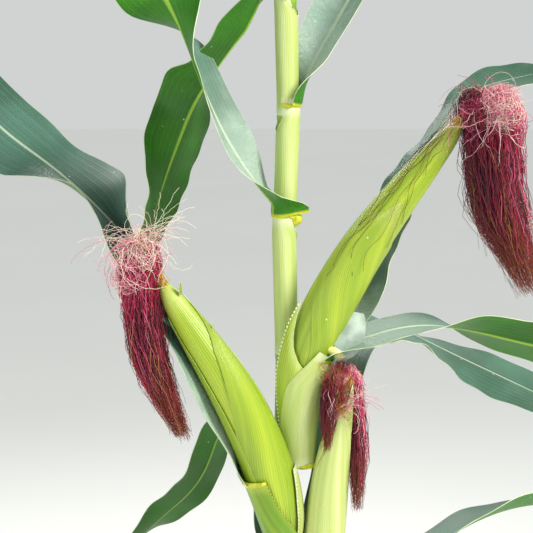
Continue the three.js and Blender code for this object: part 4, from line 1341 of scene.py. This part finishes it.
# %% Silk tufts
# Lobes: radius, four points of the line, threads. Tones: two each for the left, middle and right.
# Puffs: centre, radius, threads, tones. Sprays: aim, spread, reach, droop, threads, tones.
SILKS = dict(
    silk_upper=dict(
        ear="ear_upper", crown=(203, -40, 1332), lain=14,
        lobes=[(32, [(204, -30, 1352), (210, -32, 1312), (217, -32, 1236), (254, -34, 1152)], 980)],
        tones=((MAROON, WINE), (CRIMSON, WINE), (PINK, CRIMSON)),
        puffs=[((220, -58, 1332), 18, 150, (CREAM, PALE, PINK)),
               ((214, -58, 1340), 22, 70, (PALE, PINK, PALE)),
               ((188, -48, 1336), 13, 60, (CRIMSON, PINK, WINE))],
        sprays=[((0.2, -0.6, 0.9), 0.4, 34, 1.2, 26, (ROOT, ROOT, STRAW)),
                ((0.8, -0.5, 0.6), 0.35, 84, 1.6, 46, (CREAM, PALE, PINK)),
                ((-0.6, -0.6, 0.6), 0.35, 66, 1.7, 90, (CRIMSON, PINK, CRIMSON)),
                ((-0.1, -1, 0.3), 0.35, 96, 1.4, 60, (PALE, WINE, PINK))]),
    silk_left=dict(
        ear="ear_left", crown=(-144, -48, 1197), lain=0,
        lobes=[(20, [(-146, -42, 1200), (-147, -44, 1150), (-138, -46, 1080), (-106, -50, 1002)], 900)],
        tones=((PINK, CRIMSON), (PINK, CRIMSON), (WINE, CRIMSON)),
        puffs=[((-158, -58, 1168), 20, 34, (PALE, PALE, PINK))],
        sprays=[((0.75, -0.2, 0.9), 0.2, 62, 0.3, 34, (CREAM, CREAM, PALE)),
                ((1, -0.3, 0.2), 0.3, 66, 1.5, 26, (CREAM, CREAM, PALE)),
                ((-1, -0.4, 0.5), 0.3, 74, 1.5, 90, (CREAM, PALE, PALE)),
                ((-0.4, -0.8, 0.5), 0.35, 88, 1.6, 90, (CREAM, PALE, PINK)),
                ((-0.2, -0.3, 1), 0.35, 44, 1.4, 40, (CREAM, ROOT, CREAM))]),
    silk_lower=dict(
        ear="ear_lower", crown=(55, -50, 1030), lain=4,
        lobes=[(12, [(64, -32, 1069), (69, -31, 1050), (76, -33, 990), (77, -34, 918)], 340),
               (9, [(54, -46, 1062), (48, -50, 1050), (46, -50, 1028), (44, -48, 985)], 260)],
        tones=((MAROON, WINE), (RUST, CRIMSON), (PINK, PALE)),
        puffs=[],
        sprays=[((-0.05, -0.12, 1), 0.13, 46, 0.1, 190, (RUST, STRAW, CRIMSON)),
                ((1, -0.1, 0.8), 0.22, 58, 0.5, 34, (CREAM, PALE, PINK)),
                ((0.6, 0.3, 0.9), 0.2, 60, 1.1, 50, (RUST, CRIMSON, PINK))]),
)
FALL_POINTS, CURL_POINTS, CURL_RADIUS = 28, 34, 0.22
thinning = np.interp(np.linspace(0, 1, FALL_POINTS), [0, 0.8, 1], [0.32, 0.27, 0.15])
for number, (name, silk) in enumerate(SILKS.items()):
    rng = np.random.default_rng(40 + number)
    ear, crown = EARS[silk["ear"]], np.array(silk["crown"])
    lobes = [(radius, centre_line(points), count) for radius, points, count in silk["lobes"]]
    # Each lobe's dark core: painted shade inside the tuft
    parts = [rolled("core", 24, 40, tube_rule(*lobe[:2]), silk_shade) for lobe in lobes]
    for radius, line, count in lobes:
        knots, side = tuft_paths(ear, radius, line, count, rng)
        paths = curled(smooth_paths(knots, FALL_POINTS), radius * 0.045 + 1.3, rng)
        tones = fall_tones(side, silk["tones"], FALL_POINTS - 1, rng)
        parts.append(thread_mesh(name, paths, np.tile(thinning, (count, 1)), tones))
    tuft = seat(join(parts, name), "silk", name)
    tip = at(ear["line"], SILK_START)[0]
    loose = [(puff_paths(tip, *shape, rng), tones) for *shape, tones in silk["puffs"]]
    loose += [(spray_paths(crown, *shape, rng), tones) for *shape, tones in silk["sprays"]]
    if silk["lain"]:
        loose.append((lain_paths(ear, silk["lain"], rng), (MAROON, MAROON, RUST)))
    curls = []
    for knots, tones in loose:
        paths = curled(smooth_paths(knots, CURL_POINTS), 0.45, rng)
        picked = np.array(tones)[rng.integers(0, 3, len(knots))]
        painted = np.repeat(picked[:, None], CURL_POINTS - 1, axis=1)
        painted[:, :3] = ROOT
        curls.append(thread_mesh(name, paths, np.full(paths.shape[:2], CURL_RADIUS), painted))
    seat(join(curls, name + "_curls"), "silk")
    print(tuft.name, "has", len(tuft.data.polygons), "faces")

# %% [markdown]
# ## Tassel
#
# The tassel is a stiff spike with a dozen side branches, all set with paired spikelets from which
# small anthers hang. The axes are tapered tubes, and one spikelet and one anther shape are dealt
# out hundreds of times along them from arrays.

# %% Tassel axes
TASSEL_FOOT = stalk_centre(STALK_TOP) + [0, 0, 0.3]
SPIKE, BRANCHES, REACH, CLIMB = 295, 12, 110, 205
axes = [TASSEL_FOOT + np.outer(np.linspace(0, SPIKE, 7), UP)]
for i in range(BRANCHES):
    shrink = 1 - 0.45 * i / BRANCHES
    out, rise = outward(math.radians(137.5 * i)) * REACH * shrink, UP * CLIMB * shrink
    foot = TASSEL_FOOT + [0, 0, 26 + 9 * i]
    knee, tip = foot + out * 0.35 + rise * 0.62, foot + out + rise * 0.8
    t = np.linspace(0, 1, 7)[:, None]
    axes.append((1 - t) ** 2 * foot + 2 * t * (1 - t) * knee + t * t * tip)
stems = []
for number, axis in enumerate(axes):
    deselect()
    bpy.ops.curve.primitive_nurbs_path_add()
    stem = bpy.context.object
    stem.data.splines.clear()
    spline = stem.data.splines.new("POLY")
    spline.points.add(len(axis) - 1)
    for point, spot, size in zip(spline.points, axis, np.linspace(1, 0.45, len(axis))):
        point.co = (*(spot * MM), 1)
        point.radius = size
    stems.append(tubed(stem, 1.5 if number else 3.4, 2))
tassel_stems = join(stems, "tassel_stems")
bpy.ops.object.transform_apply(location=True, rotation=True, scale=True)
bpy.ops.object.shade_smooth()
tassel_stems.data.materials.clear()
tassel_stems.data.materials.append(plain_finish("tassel_axis", "8f9a45", "c3bc6c", (60, 60, 60)))
seat(tassel_stems, "tassel", "tassel")
print(len(stems), "tassel axes")

# %% Spikelets and anthers
TASSEL_TONES = {"spikelet_straw": "c9b465", "spikelet_green": "9aa350", "spikelet_purple": "8a5a4c",
                "anther_yellow": "e3cf6a"}
ANTHER = 3
tassel_skins = flat_finishes(TASSEL_TONES, 0.6)
rng = np.random.default_rng(11)
places, heads = [], []
for number, axis in enumerate(axes):
    length = np.linalg.norm(np.diff(axis, axis=0), axis=1).sum()
    first, pitch = (0.1, 4.2) if number else (0.28, 2.6)
    count = int(length / pitch)
    s, shares = np.linspace(first, 0.99, count), np.linspace(0, 1, len(axis))
    ahead = unit(rows_at(s, shares, np.gradient(axis, axis=0)))
    turn = rng.uniform(0, 0.6, count) + np.arange(count) * 2.4
    out = turned(unit(np.cross(ahead, [0.2, 0.9, 0.3])), ahead, turn)
    places.append(rows_at(s, shares, axis) + out * 1.2)
    heads.append(unit(ahead + 0.42 * out))
places, heads = np.vstack(places), np.vstack(heads)
tones = rng.choice([0, 0, 0, 1, 2], len(places))
sizes = rng.uniform(0.8, 1.15, len(places))
seat(dealt("spikelets", spindle(8.5, 1.7), places, heads, sizes, tones, tassel_skins), "tassel")
hung = rng.uniform(0, 1, len(places)) < 0.5
drop = unit(np.array([0, 0, -1.0]) + rng.normal(0, 0.25, (hung.sum(), 3)))
spots, sizes = places[hung] + heads[hung] * 5 + drop * 1.5, rng.uniform(0.8, 1.2, hung.sum())
tones = np.full(len(spots), ANTHER)
seat(dealt("anthers", spindle(5, 0.6, 4), spots, drop, sizes, tones, tassel_skins), "tassel")
print(len(places), "spikelets and", int(hung.sum()), "anthers")

# %% [markdown]
# ## Sizes
#
# The box of the dressed plant is measured and printed, and kept beside the box of the solids.

# %% Measure the sizes and finish
shown_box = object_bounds()
sizes = {"cad": [list(corner) for corner in cad_box], "visual": [list(corner) for corner in shown_box]}
print("the dressed plant reaches between", [[round(c, 3) for c in corner] for corner in shown_box])
